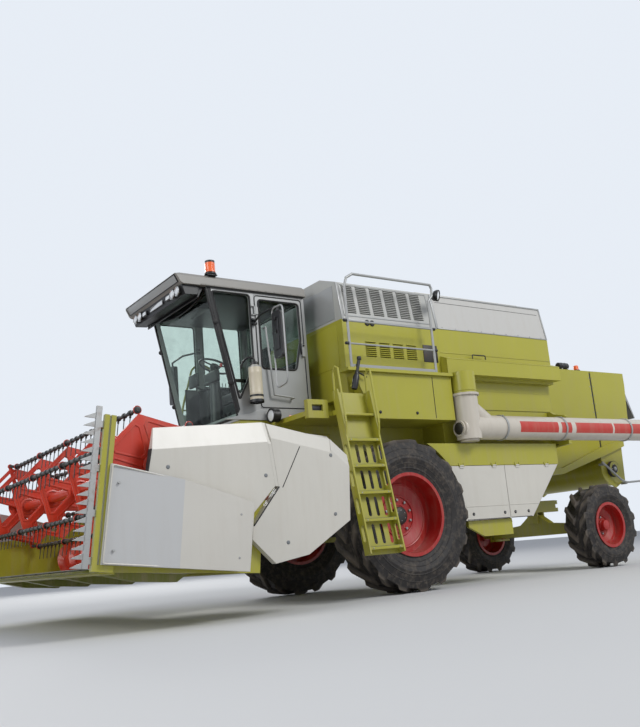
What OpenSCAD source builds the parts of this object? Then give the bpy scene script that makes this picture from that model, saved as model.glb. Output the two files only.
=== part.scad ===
// Combine harvester with its grain header raised, in millimetres.
// Built from the front axle: +X forward, +Y to the machine's left, +Z up.

/* [Running gear] */
// Distance between the front and rear axles
wheelbase = 3870; // [3800:10:3950]
// Outer diameter of a front tyre over its lugs
front_tyre_d = 1840; // [1780:10:1860]
// Width of a front tyre
front_tyre_w = 530; // [480:10:540]
// Diameter of the rim under a front tyre
front_rim_d = 965; // [920:5:1000]
// Distance between the centres of the front tyres
front_track = 2550; // [2540:10:2600]
// Outer diameter of a rear tyre over its lugs
rear_tyre_d = 1200; // [1140:10:1220]
// Width of a rear tyre
rear_tyre_w = 430; // [380:10:440]
// Diameter of the rim under a rear tyre
rear_rim_d = 610; // [580:5:640]
// Distance between the centres of the rear tyres
rear_track = 2440; // [2420:10:2500]
// Distance between the two kingpins
kingpin_track = 1800; // [1760:10:1840]
// Depth of the tyre lugs
lug_h = 42; // [25:1:50]
// Radius of the hole for the trailer pin
hitch_pin_r = 16; // [12:0.5:20]

/* [Body] */
// Width of the threshing body between its side sheets
body_w = 1560; // [1520:10:1580]
// Width across the white side doors
doors_w = 2800; // [2780:10:2860]
// Thickness of the side doors
door_t = 30; // [20:1:36]
// Height of the lower edge of the side doors
doors_bottom_z = 800; // [760:10:860]
// Height of the joint between side door and green band
band_z = 1505; // [1480:5:1530]
// Height of the top of the green band
band_top_z = 1800; // [1780:5:1810]
// Position of the split between front and rear side door
door_split_x = -1800; // [-1900:10:-1700]

/* [Upper housing] */
// Width of the engine bay and grain tank
housing_w = 2600; // [2560:10:2640]
// Front of the engine bay
housing_front_x = 650; // [630:5:670]
// Wall between engine bay and grain tank
tank_front_x = -950; // [-980:10:-920]
// Rear of the grain tank
tank_rear_x = -3180; // [-3240:10:-3120]
// Height of the line between green and grey sheet
shoulder_z = 3390; // [3360:10:3420]
// Height of the roof edge
roof_edge_z = 3900; // [3860:10:3940]
// Height of the roof
roof_z = 4020; // [4000:5:4060]
// Height of the tank floor line and of the service deck
deck_z = 2700; // [2680:5:2720]
// Sheet thickness of the housing
housing_t = 30; // [20:1:40]

/* [Cab] */
// Width of the cab
cab_w = 1560; // [1500:10:1600]
// Rear wall of the cab
cab_rear_x = 850; // [800:10:900]
// Door post of the cab
cab_post_x = 1600; // [1560:10:1640]
// Height of the cab floor
cab_floor_z = 2200; // [2180:5:2220]
// Height of the top of the cab frame
cab_top_z = 3800; // [3760:10:3820]
// Thickness of the cab pillars
pillar_t = 40; // [30:1:50]
// Thickness of the glass
glass_t = 8; // [5:1:10]

/* [Straw hood] */
// Width of the straw hood
hood_w = 1600; // [1560:10:1640]
// Height of the straw hood
hood_top_z = 3100; // [3060:10:3140]
// Rear end of the straw hood
hood_rear_x = -5620; // [-5700:10:-5560]
// Sheet thickness of the straw hood
hood_t = 25; // [15:1:35]

/* [Unloading auger] */
// Outer diameter of the unloading tube
tube_d = 330; // [300:5:336]
// Length of the tube behind its swivel
tube_len = 4700; // [4500:50:4700]
// Height of the tube
tube_z = 2005; // [1990:5:2020]
// Distance of the swivel from the machine's middle
tube_y = 1465; // [1455:5:1500]
// Position of the swivel along the machine
swivel_x = -1150; // [-1180:5:-1145]

/* [Header] */
// Width of the header between its end walls
header_w = 4400; // [4300:20:4600]
// Distance of the header's rear lower corner from the front axle
header_x = 2800; // [2760:10:2860]
// Height of that corner
header_z = 440; // [420:10:520]
// Nose-up tilt of the raised header, in degrees
header_tilt = 7; // [4:0.5:9]
// Depth of the header floor from that corner to the cutter bar
floor_len = 1390; // [1340:10:1420]
// Height of the header's rear wall
rear_wall_h = 950; // [900:10:960]
// Sheet thickness of the header
sheet_t = 8; // [6:1:12]
// Radius over the flights of the table auger
auger_r = 250; // [230:5:255]
// Radius of the table auger's drum
drum_r = 150; // [130:5:170]
// Distance between the knife guards
guard_pitch = 76.2; // [70:0.1:90]
// Width of the slot between end wall and divider panel
divider_gap = 110; // [90:5:130]
// Thickness of the divider panel
divider_t = 60; // [40:5:80]

/* [Reel] */
// Distance of the tine bars from the reel's axis
reel_r = 545; // [520:5:560]
// Distance of the reel's axis from the header's rear lower corner
reel_u = 900; // [880:5:920]
// Height of the reel's axis over that corner
reel_w = 940; // [930:5:980]
// Radius of the reel's middle tube
reel_tube_r = 60; // [45:1:75]
// Radius of a tine bar
bar_r = 18; // [14:1:20]
// Length of the tines
tine_len = 170; // [140:5:180]
// Distance between the tines
tine_pitch = 155; // [150:5:220]
// Offset of the control ring from the reel's axis
crank_len = 80; // [60:5:90]
// Angle of the first tine bar above the forward direction
reel_phase = 8; // [0:1:20]

/* [Feeder house] */
// Position of the feeder's pivot along the machine
feeder_pivot_x = 300; // [280:5:320]
// Height of the feeder's pivot
feeder_pivot_z = 1600; // [1580:5:1620]
// Radius of the feeder's round rear end
feeder_r = 340; // [320:5:350]
// Width of the feeder house
feeder_w = 1240; // [1200:10:1260]
// Wall thickness of the feeder house
feeder_t = 25; // [15:1:30]

/* [Hidden] */
$fn = 64;
eps = 1;
// Running clearance of pins, shafts and hinges
run_gap = 0.3;

lime = "yellowgreen";
white = "gainsboro";
steel = "silver";
black = [0.08, 0.08, 0.08];
red = "orangered";
pane = [0.7, 0.85, 0.75, 0.4];

// Foremost and rearmost points, which centre the machine on its origin
knife_u = 1555;
knife_tip_u = 1680;
knife_low_w = -40;
flap_reach = 290;
front_x = header_x + knife_tip_u * cos(header_tilt) - knife_low_w * sin(header_tilt);
rear_x = hood_rear_x - flap_reach;
mid_x = (front_x + rear_x) / 2;

// A point of the raised header in the machine's frame, as [x, z]
function header_point(u, w) = [header_x + u * cos(header_tilt) - w * sin(header_tilt),
    header_z + u * sin(header_tilt) + w * cos(header_tilt)];

// The point where a line from p touches a circle
function touch(p, c, r, side) =
    let (d = p - c, a = atan2(d[1], d[0]) + side * acos(r / norm(d)))
    [c[0] + r * cos(a), c[1] + r * sin(a)];

module machine() translate([-mid_x, 0, 0]) children();

module header() machine() translate([header_x, 0, header_z]) rotate([0, -header_tilt, 0]) children();

// Extrudes a side view, with x forward and y up, from y0 to y1
module side_view(y0, y1) translate([0, y1, 0]) rotate([90, 0, 0]) linear_extrude(y1 - y0) children();

// Extrudes a front view, with x to the left and y up, from x0 to x1
module front_view(x0, x1) translate([x0, 0, 0]) rotate([90, 0, 90]) linear_extrude(x1 - x0) children();

module both_sides() {
    children();
    mirror([0, 1, 0]) children();
}

module box(x, y, z) translate([x[0], y[0], z[0]]) cube([x[1] - x[0], y[1] - y[0], z[1] - z[0]]);

module across(x, z, r, y0, y1) translate([x, y1, z]) rotate([90, 0, 0]) cylinder(h = y1 - y0, r = r);

module upright(x, y, r, z0, z1) translate([x, y, z0]) cylinder(h = z1 - z0, r = r);

module rod(a, b, r) {
    d = b - a;
    translate(a) rotate([0, acos(d[2] / norm(d)), atan2(d[1], d[0])]) cylinder(h = norm(d), r = r);
}

// A bent tube through a list of points, with a round collar at each bend
module bent_tube(points, r) {
    for (i = [1 : len(points) - 1]) rod(points[i - 1], points[i], r);
    for (i = [1 : 1 : len(points) - 2]) translate(points[i]) sphere(r = r * 1.06);
}

// Tyres and rims

// Rows of a tyre section: share of the side wall's height, share of the half width,
// lug height share, turn as a share of the lug pitch
tyre_rows = [
    [0.00, -0.80, 0, 1.15], [0.10, -0.80, 0, 1.00], [0.50, -1.00, 0, 0.90], [1.00, -0.86, 1, 0.85],
    [1.00, -0.42, 1, 0.40], [1.00, -0.04, 1, 0.05], [1.00, 0.10, 0, 0.30], [1.00, 0.48, 1, 0.95],
    [1.00, 0.86, 1, 1.40], [0.50, 1.00, 0, 1.40], [0.10, 0.80, 0, 1.30], [0.00, 0.80, 0, 1.15]];
// Where the lug's foot and crest lie within its pitch
lug_steps = [[0.00, 0], [0.10, 1], [0.36, 1], [0.46, 0]];

module tyre(d, w, rim_d, lugs) {
    rows = len(tyre_rows);
    cols = lugs * len(lug_steps);
    bore_r = (rim_d / 2 + run_gap) / cos(180 / lugs * 0.6);
    base_r = d / 2 - lug_h;
    points = [for (c = [0 : cols - 1], row = tyre_rows)
        let (step = lug_steps[c % len(lug_steps)],
            turn = (floor(c / len(lug_steps)) + step[0] + row[3]) * 360 / lugs,
            r = bore_r + row[0] * (base_r - bore_r) + lug_h * row[2] * step[1])
        [r * cos(turn), row[1] * w / 2, r * sin(turn)]];
    faces = [for (c = [0 : cols - 1], k = [0 : rows - 1])
        let (a = c * rows + k, b = c * rows + (k + 1) % rows,
            e = ((c + 1) % cols) * rows + k, f = ((c + 1) % cols) * rows + (k + 1) % rows)
        each [[a, f, b], [a, e, f]]];
    polyhedron(points, faces);
}

// A rim turned about Y: barrel with flanges, disc and hub
module rim(rim_d, rim_w, disc_y, hub_r, bore_r, hub_y) {
    r = rim_d / 2;
    flange_h = 24;
    wall = 16;
    rotate([-90, 0, 0]) rotate_extrude($fn = 96) {
        translate([r - wall, -rim_w / 2]) square([wall, rim_w]);
        for (y = [-rim_w / 2 - wall, rim_w / 2]) translate([r - wall, y]) square([wall + flange_h, wall]);
        polygon([[bore_r, disc_y - 8], [r * 0.55, disc_y - 8], [r * 0.8, disc_y + 30],
            [r - wall + eps, disc_y + 30], [r - wall + eps, disc_y + 46], [r * 0.78, disc_y + 46],
            [r * 0.52, disc_y + 8], [bore_r, disc_y + 8]]);
        translate([bore_r, hub_y[0]]) square([hub_r - bore_r, hub_y[1] - hub_y[0]]);
    }
}

front_y = front_track / 2;
rear_y = rear_track / 2;
pin_y = kingpin_track / 2;
front_z = front_tyre_d / 2;
rear_z = rear_tyre_d / 2;
front_lugs = 17;
rear_lugs = 14;
front_rim_w = front_tyre_w * 0.8 + 2;
rear_rim_w = rear_tyre_w * 0.8 + 2;
front_disc_y = -70;
pilot_r = 100;
spindle_r = 40;
hub_reach = 60;

module front_rim(s) color(red) machine() mirror([0, s < 0 ? 1 : 0, 0])
    translate([0, front_y, front_z])
    rim(front_rim_d, front_rim_w, front_disc_y, pilot_r + 60, pilot_r + run_gap,
        [front_disc_y - 8, front_disc_y + 20]);

module front_tyre(s) color(black) machine() mirror([0, s < 0 ? 1 : 0, 0])
    translate([0, front_y, front_z]) tyre(front_tyre_d, front_tyre_w, front_rim_d, front_lugs);

module rear_rim(s) color(red) machine() mirror([0, s < 0 ? 1 : 0, 0])
    translate([-wheelbase, rear_y, rear_z])
    rim(rear_rim_d, rear_rim_w, 0, spindle_r + 45, spindle_r + run_gap, [-hub_reach, hub_reach]);

module rear_tyre(s) color(black) machine() mirror([0, s < 0 ? 1 : 0, 0])
    translate([-wheelbase, rear_y, rear_z])
    tyre(rear_tyre_d, rear_tyre_w, rear_rim_d, rear_lugs);

module front_rim_left() front_rim(1);
module front_rim_right() front_rim(-1);
module front_tyre_left() front_tyre(1);
module front_tyre_right() front_tyre(-1);
module rear_rim_left() rear_rim(1);
module rear_rim_right() rear_rim(-1);
module rear_tyre_left() rear_tyre(1);
module rear_tyre_right() rear_tyre(-1);

// Axles and chassis

beam_h = 160;
front_flange_y = front_y + front_disc_y - 8 - run_gap;
lift_base = [250, 800];
lift_y = 430;
lift_pin_r = 25;
barrel_r = 50;

module front_axle() color(lime) machine() {
    top = front_z + beam_h / 2;
    drive_y = 985;
    box([-110, 110], [-body_w / 2 - 10, body_w / 2 + 10], [top - beam_h, top]);
    box([-450, 150], [-260, 260], [top - 320, top]);
    both_sides() {
        across(0, front_z, 230, body_w / 2 + 2, drive_y);
        across(0, front_z, 150, drive_y - eps, front_flange_y);
        across(0, front_z, pilot_r, front_flange_y - eps, front_y + front_disc_y + 50);
        for (y = [lift_y - barrel_r - 36, lift_y + barrel_r + 6]) side_view(y, y + 30)
            polygon([[100, top - beam_h], [300, lift_base[1] - 50], [300, lift_base[1] + 50], [100, top]]);
        across(lift_base[0], lift_base[1], lift_pin_r, lift_y - barrel_r - 36 + eps,
            lift_y + barrel_r + 36 - eps);
    }
}

king_r = 25;
eye_r = 55;
eye_h = 160;
axle_pin_z = rear_z + 180;

module rear_axle() color(lime) machine() translate([-wheelbase, 0, 0]) difference() {
    union() {
        front_view(-60, 60) polygon([[-pin_y + 30, rear_z - 70], [pin_y - 30, rear_z - 70],
            [pin_y - 30, rear_z + 60], [300, rear_z + 110], [90, axle_pin_z + 70],
            [-90, axle_pin_z + 70], [-300, rear_z + 110], [-pin_y + 30, rear_z + 60]]);
        both_sides() upright(0, pin_y, eye_r, rear_z - eye_h / 2, rear_z + eye_h / 2);
    }
    both_sides() upright(0, pin_y, king_r + run_gap, 0, 2 * rear_z);
    translate([-eye_h, 0, axle_pin_z]) rotate([0, 90, 0]) cylinder(h = 2 * eye_h, r = 30 + run_gap);
}

arm_len = 220;
tie_pin_r = 14;

// The left knuckle: a fork round the axle's eye, its kingpin, spindle and steering arm
module knuckle() translate([-wheelbase, 0, rear_z]) {
    fork_z = eye_h / 2 + run_gap;
    fork_t = 32;
    for (s = [-1, 1]) translate([0, 0, s * (fork_z + fork_t / 2)]) {
        cube_at([-60, 60], [pin_y, pin_y + 110], fork_t);
        translate([0, pin_y, 0]) cylinder(h = fork_t, r = 60, center = true);
    }
    upright(0, pin_y, king_r, -fork_z - fork_t, fork_z + fork_t);
    box([-60, 60], [pin_y + 70, pin_y + 110], [-fork_z - fork_t, fork_z + fork_t]);
    across(0, 0, 60, pin_y + 100, rear_y - hub_reach - run_gap);
    across(0, 0, spindle_r, pin_y + 100, rear_y + hub_reach + 30);
    across(0, 0, 62, rear_y + hub_reach + run_gap, rear_y + hub_reach + 30);
    box([-arm_len - 40, 0], [pin_y - 30, pin_y + 30], [-fork_z - fork_t, -fork_z - eps]);
    upright(-arm_len, pin_y, tie_pin_r, -fork_z - fork_t, -fork_z + 60);
}

module cube_at(x, y, h) translate([(x[0] + x[1]) / 2, (y[0] + y[1]) / 2, 0])
    cube([x[1] - x[0], y[1] - y[0], h], center = true);

module knuckle_left() color(lime) machine() knuckle();
module knuckle_right() color(lime) machine() mirror([0, 1, 0]) knuckle();

module tie_rod() color(lime) machine() translate([-wheelbase - arm_len, 0, rear_z - eye_h / 2 + 22])
    difference() {
        union() {
            across(0, 0, 18, -pin_y + 30, pin_y - 30);
            both_sides() translate([0, pin_y, 0]) cylinder(h = 40, r = 32, center = true);
        }
        both_sides() translate([0, pin_y, 0]) cylinder(h = 90, r = tie_pin_r + run_gap, center = true);
    }

rail_z = [front_z + beam_h / 2, front_z + beam_h / 2 + 120];
spine_z = [rear_z + 290, rear_z + 470];
hitch_x = -wheelbase - 470;
hitch_r = 60;
skirt_x = [-1870, -1060];
skirt_y = 1345;
skirt_z = 585;

module chassis_frame() color(lime) machine() {
    both_sides() box([-3000, 250], [560, 640], rail_z);
    for (x = [-2950, -1500]) box([x, x + 110], [-640, 640], rail_z);
    difference() {
        union() {
            box([hitch_x + 90, -2900], [-110, 110], spine_z);
            for (x = [-wheelbase - 90, -wheelbase + 60 + run_gap])
                box([x, x + 30 - run_gap], [-100, 100], [axle_pin_z - 60, spine_z[0] + eps]);
            for (z = [spine_z[0], spine_z[1] - 60]) {
                box([hitch_x, hitch_x + 100], [-hitch_r, hitch_r], [z, z + 60]);
                upright(hitch_x, 0, hitch_r, z, z + 60);
            }
        }
        upright(hitch_x, 0, hitch_pin_r, spine_z[0] - eps, spine_z[1] + eps);
    }
    translate([-wheelbase - 90, 0, axle_pin_z]) rotate([0, 90, 0]) cylinder(h = 180, r = 30);
    // Skirt below the side doors on its two arms
    both_sides() {
        side_view(skirt_y - 40, skirt_y) polygon([[skirt_x[0], doors_bottom_z - 8], [skirt_x[0], skirt_z],
            [skirt_x[1] - 270, skirt_z], [skirt_x[1], skirt_z + 130], [skirt_x[1], doors_bottom_z - 8]]);
        for (x = [skirt_x[0] + 10, skirt_x[1] - 70]) front_view(x, x + 60) polygon([[600, rail_z[0] + 10],
            [635, rail_z[1] - 20], [skirt_y - eps, doors_bottom_z - 12], [skirt_y - eps, doors_bottom_z - 70],
            [skirt_y - 100, doors_bottom_z - 70]]);
    }
    both_sides() side_view(40, 110) polygon([[body_rear_x, spine_z[1] - eps],
        [body_rear_x + 80, spine_z[1] - eps], [body_rear_x + 80, body_line(body_rear_x + 80)],
        [body_rear_x, body_line(body_rear_x)]]);
}

// Body

body_front_x = 620;
body_top_z = 2400;
body_rear_x = tank_rear_x - 40;
body_low = [[body_rear_x, 1400], [-2400, rail_z[1]], [-300, rail_z[1]], [300, rail_z[1] + 60]];

// Height of the body's underside over the rear frame
function body_line(x) = lookup(x, body_low);

pivot = [feeder_pivot_x, feeder_pivot_z];
cheek_y = feeder_w / 2 + 10;
feeder_pin_r = 60;
pin_depth = 60;

module threshing_body() color(lime) machine() difference() {
    union() {
        side_view(-body_w / 2, body_w / 2) polygon(concat(body_low,
            [[560, 1300], [body_front_x, 1360], [body_front_x, body_top_z], [tank_front_x, body_top_z],
            [tank_front_x, deck_z], [body_rear_x, deck_z]]));
        box([tank_rear_x, tank_front_x], [-1200, 1200], [band_top_z, deck_z]);
        both_sides() box([tank_rear_x + 20, tank_front_x - 20], [1200 - eps, 1212], [2300, 2560]);
    }
    side_view(-cheek_y, cheek_y) {
        translate(pivot) circle(r = feeder_r + 30);
        polygon([[200, 1100], [760, 1050], [760, 2060], [300, 1960]]);
    }
    across(pivot[0], pivot[1], feeder_pin_r + run_gap, -cheek_y - pin_depth - eps, cheek_y + pin_depth + eps);
}

wheel_gap_r = front_tyre_d / 2 + 65;
door_y = doors_w / 2;
band_front_x = -sqrt(pow(wheel_gap_r, 2) - pow(band_top_z - front_z, 2));
hinge_pin_r = 5;
hinge_r = 9;
hinge_len = 100;
// Hinges of the side doors: positions along the machine
front_hinges = [door_split_x + 200, -1000];
rear_hinges = [-2650, door_split_x - 250];

// Places a part on the axis of the side door hinges, at a position along the machine
module on_door_hinge(x) translate([x, door_y + hinge_r, band_z]) rotate([0, 90, 0]) children();

// Green band over the doors, with the ears and pins of their hinges
module side_bands() color(lime) machine() both_sides() {
    difference() {
        union() {
            side_view(door_y - door_t, door_y) polygon([[body_rear_x + 300, band_top_z],
                [body_rear_x + 310, band_z + 4], [0, band_z + 4], [0, band_top_z]]);
            box([body_rear_x + 300, 0], [1200, door_y - eps], [band_top_z - 12, band_top_z]);
        }
        wheel_arch();
    }
    for (x = concat(front_hinges, rear_hinges)) {
        on_door_hinge(x - hinge_len / 2) cylinder(h = hinge_len, r = hinge_pin_r);
        for (e = [x - hinge_len / 2, x + hinge_len / 2 - 16]) {
            on_door_hinge(e) cylinder(h = 16, r = hinge_r);
            box([e, e + 16], [door_y - eps, door_y + hinge_r], [band_z, band_z + 34]);
        }
    }
}

// Room round the front wheels
module wheel_arch() across(0, front_z, wheel_gap_r, 0, 2 * door_y, $fn = 240);

// A side door between two positions along the machine, with the tubes of its hinges
module side_door(x0, x1, hinges) difference() {
    union() {
        side_view(door_y - door_t, door_y) intersection() {
            polygon([[body_rear_x + 330, band_z - 2], [-2240, doors_bottom_z],
                [-900, doors_bottom_z - 6], [-600, band_z - 2]]);
            polygon([[x0, 0], [x1, 0], [x1, 2 * band_z], [x0, 2 * band_z]]);
        }
        for (x = hinges) {
            box([x - 33, x + 33], [door_y - eps, door_y + hinge_r], [band_z - 34, band_z]);
            on_door_hinge(x - 33) cylinder(h = 66, r = hinge_r);
        }
    }
    wheel_arch();
    for (x = hinges) on_door_hinge(x - 40) cylinder(h = 80, r = hinge_pin_r + run_gap);
}

module side_door_front_left() color(white) machine() side_door(door_split_x + 4, 0, front_hinges);
module side_door_front_right() color(white) machine() mirror([0, 1, 0])
    side_door(door_split_x + 4, 0, front_hinges);
module side_door_rear_left() color(white) machine() side_door(-3000, door_split_x - 4, rear_hinges);
module side_door_rear_right() color(white) machine() mirror([0, 1, 0])
    side_door(-3000, door_split_x - 4, rear_hinges);

// Upper housing

half_w = housing_w / 2;
slope_in = 80;
ledge_y = half_w + 120;

// Front view of the housing, shrunk by a wall
module housing_section(t, bottom_z) polygon([[-half_w + t, bottom_z], [half_w - t, bottom_z],
    [half_w - t, shoulder_z], [half_w - slope_in - t, roof_edge_z - t / 2], [900, roof_z - t],
    [-900, roof_z - t], [-half_w + slope_in + t, roof_edge_z - t / 2], [-half_w + t, shoulder_z]]);

// Columns of louvre slots, each louvre_w wide, from the front edge towards the rear
louvre_cols = 6;
low_louvre_cols = 4;
louvre_pitch = 227;
louvre_w = 168;
louvre_front_x = 560;
low_louvre_front_x = 310;
louvre_z = [3480, 3870];
low_louvre_z = [2920, 3130];
slat_pitch = 26;
slat_gap = 12;

module louvre_slots(x_front, cols, z0, z1) for (c = [0 : cols - 1], z = [z0 : slat_pitch : z1 - slat_gap])
    translate([x_front - louvre_w - c * louvre_pitch, z]) square([louvre_w, slat_gap]);

module engine_bay() color(lime) machine() {
    difference() {
        union() {
            front_view(tank_front_x, housing_front_x) housing_section(0, body_top_z);
            both_sides() side_view(body_w / 2, ledge_y + 30) polygon([[tank_front_x, 2100],
                [390, 2100], [housing_front_x, 2640], [housing_front_x, deck_z - 20],
                [tank_front_x, deck_z - 20]]);
        }
        front_view(tank_front_x + housing_t, housing_front_x - housing_t)
            housing_section(housing_t, body_top_z + housing_t);
        both_sides() {
            side_view(half_w - slope_in - 60, half_w + 20)
                louvre_slots(louvre_front_x, louvre_cols, louvre_z[0], louvre_z[1]);
            side_view(half_w - housing_t - 10, half_w + 10)
                louvre_slots(low_louvre_front_x, low_louvre_cols, low_louvre_z[0], low_louvre_z[1]);
        }
    }
    both_sides() box([tank_front_x, housing_front_x + 120], [half_w - eps, 1500], [deck_z - 20, deck_z + 20]);
}

module engine_block() color(black) machine() {
    box([-750, 350], [-420, 420], [body_top_z + housing_t, 3250]);
    upright(-500, 250, 60, 3200, roof_z - housing_t);
    upright(-500, 250, 60, roof_z, roof_z + 60);
}

hatch_y = 880;
hatch_x = [tank_rear_x + 120, tank_front_x - 90];

module grain_tank() color(lime) machine() difference() {
    union() {
        front_view(tank_rear_x, tank_front_x) housing_section(0, deck_z);
        front_view(tank_rear_x - 40, tank_front_x) both_ways() polygon([[half_w - eps, deck_z + 300],
            [ledge_y, deck_z + 250], [ledge_y, deck_z + 40], [half_w - eps, deck_z + 40]]);
    }
    front_view(tank_rear_x + housing_t, tank_front_x - housing_t)
        polygon([[-half_w + housing_t, shoulder_z], [-half_w + housing_t, 3150], [-300, deck_z + 50],
            [300, deck_z + 50], [half_w - housing_t, 3150], [half_w - housing_t, shoulder_z],
            [half_w - slope_in - housing_t, roof_edge_z - housing_t / 2],
            [hatch_y, roof_z - housing_t], [-hatch_y, roof_z - housing_t],
            [-half_w + slope_in + housing_t, roof_edge_z - housing_t / 2]]);
    box(hatch_x, [-hatch_y + 40, hatch_y - 40], [roof_z - 2 * housing_t, roof_z + eps]);
}

module both_ways() {
    children();
    mirror([1, 0]) children();
}

lid_t = 24;
lid_rise = 60;

// A lid that rests on the roof and turns about its round outer edge
module tank_lid() {
    z = roof_z + run_gap;
    front_view(hatch_x[0] - 30, hatch_x[1] + 30) {
        polygon([[3, z + lid_rise], [3, z + lid_rise + lid_t], [hatch_y, z + lid_t], [hatch_y, z],
            [hatch_y - 60, z]]);
        translate([hatch_y, z + lid_t / 2]) circle(r = lid_t / 2);
    }
}

module tank_lid_left() color(steel) machine() tank_lid();
module tank_lid_right() color(steel) machine() mirror([0, 1, 0]) tank_lid();

// Straw hood and chopper

hood_front_x = body_rear_x;

module hood_outline(t) polygon([[hood_front_x - t, body_low[0][1] + t], [-3690, 1420 + t],
    [-4810, 1710 + t], [-5300, 1850 + t], [hood_rear_x + 60 + t, 2300], [hood_rear_x + t, 2900],
    [hood_rear_x + t, hood_top_z - t], [hood_front_x - t, hood_top_z - t]]);

hood_seams = [-4750, -3560];
seam_w = 36;
seam_depth = 8;
hood_beam = [[hood_front_x, 1400], [-3690, 1420], [-4810, 1710], [-5300, 1850], [-5300, 1950], [-4770, 1850],
    [-3690, 1510], [hood_front_x, 1480]];

module straw_hood() color(lime) machine() {
    hood_box();
    both_sides() side_view(hood_w / 2 - 9, hood_w / 2 + 32) polygon(hood_beam);
}

module hood_box() difference() {
    side_view(-hood_w / 2, hood_w / 2) hood_outline(0);
    side_view(-hood_w / 2 + hood_t, hood_w / 2 - hood_t) hood_outline(hood_t);
    side_view(-hood_w / 2 + hood_t, hood_w / 2 - hood_t)
        polygon([[-4700, 1600], [-6000, 1600], [-6000, 2900], [-5400, 2900], [-4700, 2000]]);
    // Pressed seams in the side sheets
    both_sides() for (x = hood_seams)
        box([x, x + seam_w], [hood_w / 2 - seam_depth, hood_w / 2 + eps], [0, hood_top_z + eps]);
}

module hood_flap() color(steel) machine() side_view(-hood_w / 2 + 100, hood_w / 2 - 100)
    polygon([[hood_rear_x, 3000], [hood_rear_x - 40, 3000], [rear_x, 2360], [rear_x + 20, 2350],
        [hood_rear_x, 2930]]);

chop = [-4950, 1480];
chop_r = 260;
chop_y = hood_w / 2 - hood_t;

// Straw chopper between the hood's side sheets, with a pulley on each end
module chopper() color(lime) machine() {
    difference() {
        union() {
            across(chop[0], chop[1], chop_r, -chop_y, chop_y);
            both_sides() side_view(chop_y - 25, chop_y) polygon([[-4710, 1780], [-4770, 1300],
                [-5000, 1180], [-5260, 1300], [-5300, 1900], [-4710, 1900]]);
        }
        side_view(-chop_y + 25, chop_y - 25) polygon([[-5020, 1400], [-5020, 1700], [-5400, 1560],
            [-5400, 1100]]);
    }
    both_sides() across(chop[0], chop[1], 120, chop_y - eps, chop_y + 60);
}

// Cab

cab_y = cab_w / 2;
post_low = [1910, 2280];
post_high = [2250, cab_top_z];
roof_front_x = 2650;
roof_top_z = cab_top_z + 150;

// Side view of the front pillar
module front_pillar(t) polygon([[post_low[0] - t, cab_floor_z], [post_low[0] + 4, cab_floor_z],
    [post_high[0], cab_top_z], [post_high[0] - t, cab_top_z]]);

module side_frame() difference() {
    polygon([[cab_rear_x, cab_floor_z - 30], [post_low[0], cab_floor_z - 30],
        [post_low[0] + 4, cab_floor_z], [post_high[0], cab_top_z], [cab_rear_x, cab_top_z]]);
    rounded(window_r) polygon([[cab_post_x + 60, cab_floor_z + 640], [post_low[0] - 24, cab_floor_z + 215],
        [post_high[0] - 66, cab_top_z - 50], [cab_post_x + 60, cab_top_z - 50]]);
}

// Outline of the door's hole in the cab side, shrunk by a margin
module door_hole(c) polygon([
    [door_x[0] + c, door_z[0] + c], [door_x[1] - c, door_z[0] + c],
    [door_x[1] - c, door_z[1] - c], [door_x[0] + c, door_z[1] - c]]);

door_x = [cab_rear_x + 40, cab_post_x];
door_z = [cab_floor_z + 120, cab_top_z - 40];
door_hinge_y = cab_y + 16;
door_hinge_z = [cab_floor_z + 550, cab_top_z - 250];
apron_t = 20;
window_r = 45;

// Rounds the corners of a window
module rounded(r) offset(r = r, $fn = 24) offset(delta = -r) children();

module cab_shell() color(steel) machine() {
    for (z = door_hinge_z) {
        upright(cab_post_x, door_hinge_y, 8, z - 60, z + 60);
        for (e = [z - 60, z + 50]) {
            upright(cab_post_x, door_hinge_y, 14, e, e + 10);
            box([cab_post_x, cab_post_x + 40], [cab_y - eps, door_hinge_y + 8], [e, e + 10]);
        }
    }
    side_view(cab_y - pillar_t, cab_y) difference() {
        side_frame();
        door_hole(0);
    }
    side_view(-cab_y, -cab_y + pillar_t) difference() {
        side_frame();
        translate([0, 500]) door_hole(60);
    }
    box([cab_rear_x, post_low[0]], [-cab_y + eps, cab_y - eps], [cab_floor_z - 30, cab_floor_z]);
    difference() {
        box([cab_rear_x, cab_rear_x + 30], [-cab_y + eps, cab_y - eps], [cab_floor_z - eps, cab_top_z]);
        box([0, 2000], [-cab_y + 120, cab_y - 120], [3000, cab_top_z - 60]);
    }
    box([cab_rear_x, post_high[0] - 40], [-cab_y + eps, cab_y - eps], [cab_top_z - 12, cab_top_z]);
    box([post_low[0] - 60, post_low[0]], [-cab_y + eps, cab_y - eps], [cab_floor_z - eps, cab_floor_z + 60]);
    // Apron below the door, and the tank on its bracket in front of the door post
    side_view(cab_y, cab_y + apron_t) polygon([
        [cab_rear_x + 60, cab_floor_z - 28], [cab_rear_x + 60, cab_floor_z + 70],
        [cab_post_x, cab_floor_z + 100], [post_low[0] - 20, cab_floor_z + 30], [2130, cab_floor_z - 28]]);
    box([1685, 1755], [cab_y - eps, tank_y], [cab_floor_z + 235, cab_floor_z + 275]);
    upright(1720, tank_y, 78, cab_floor_z + 190, cab_floor_z + 600);
    upright(1720, tank_y, 50, cab_floor_z + 170, cab_floor_z + 640);
}

tank_y = cab_y + 120;

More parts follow.
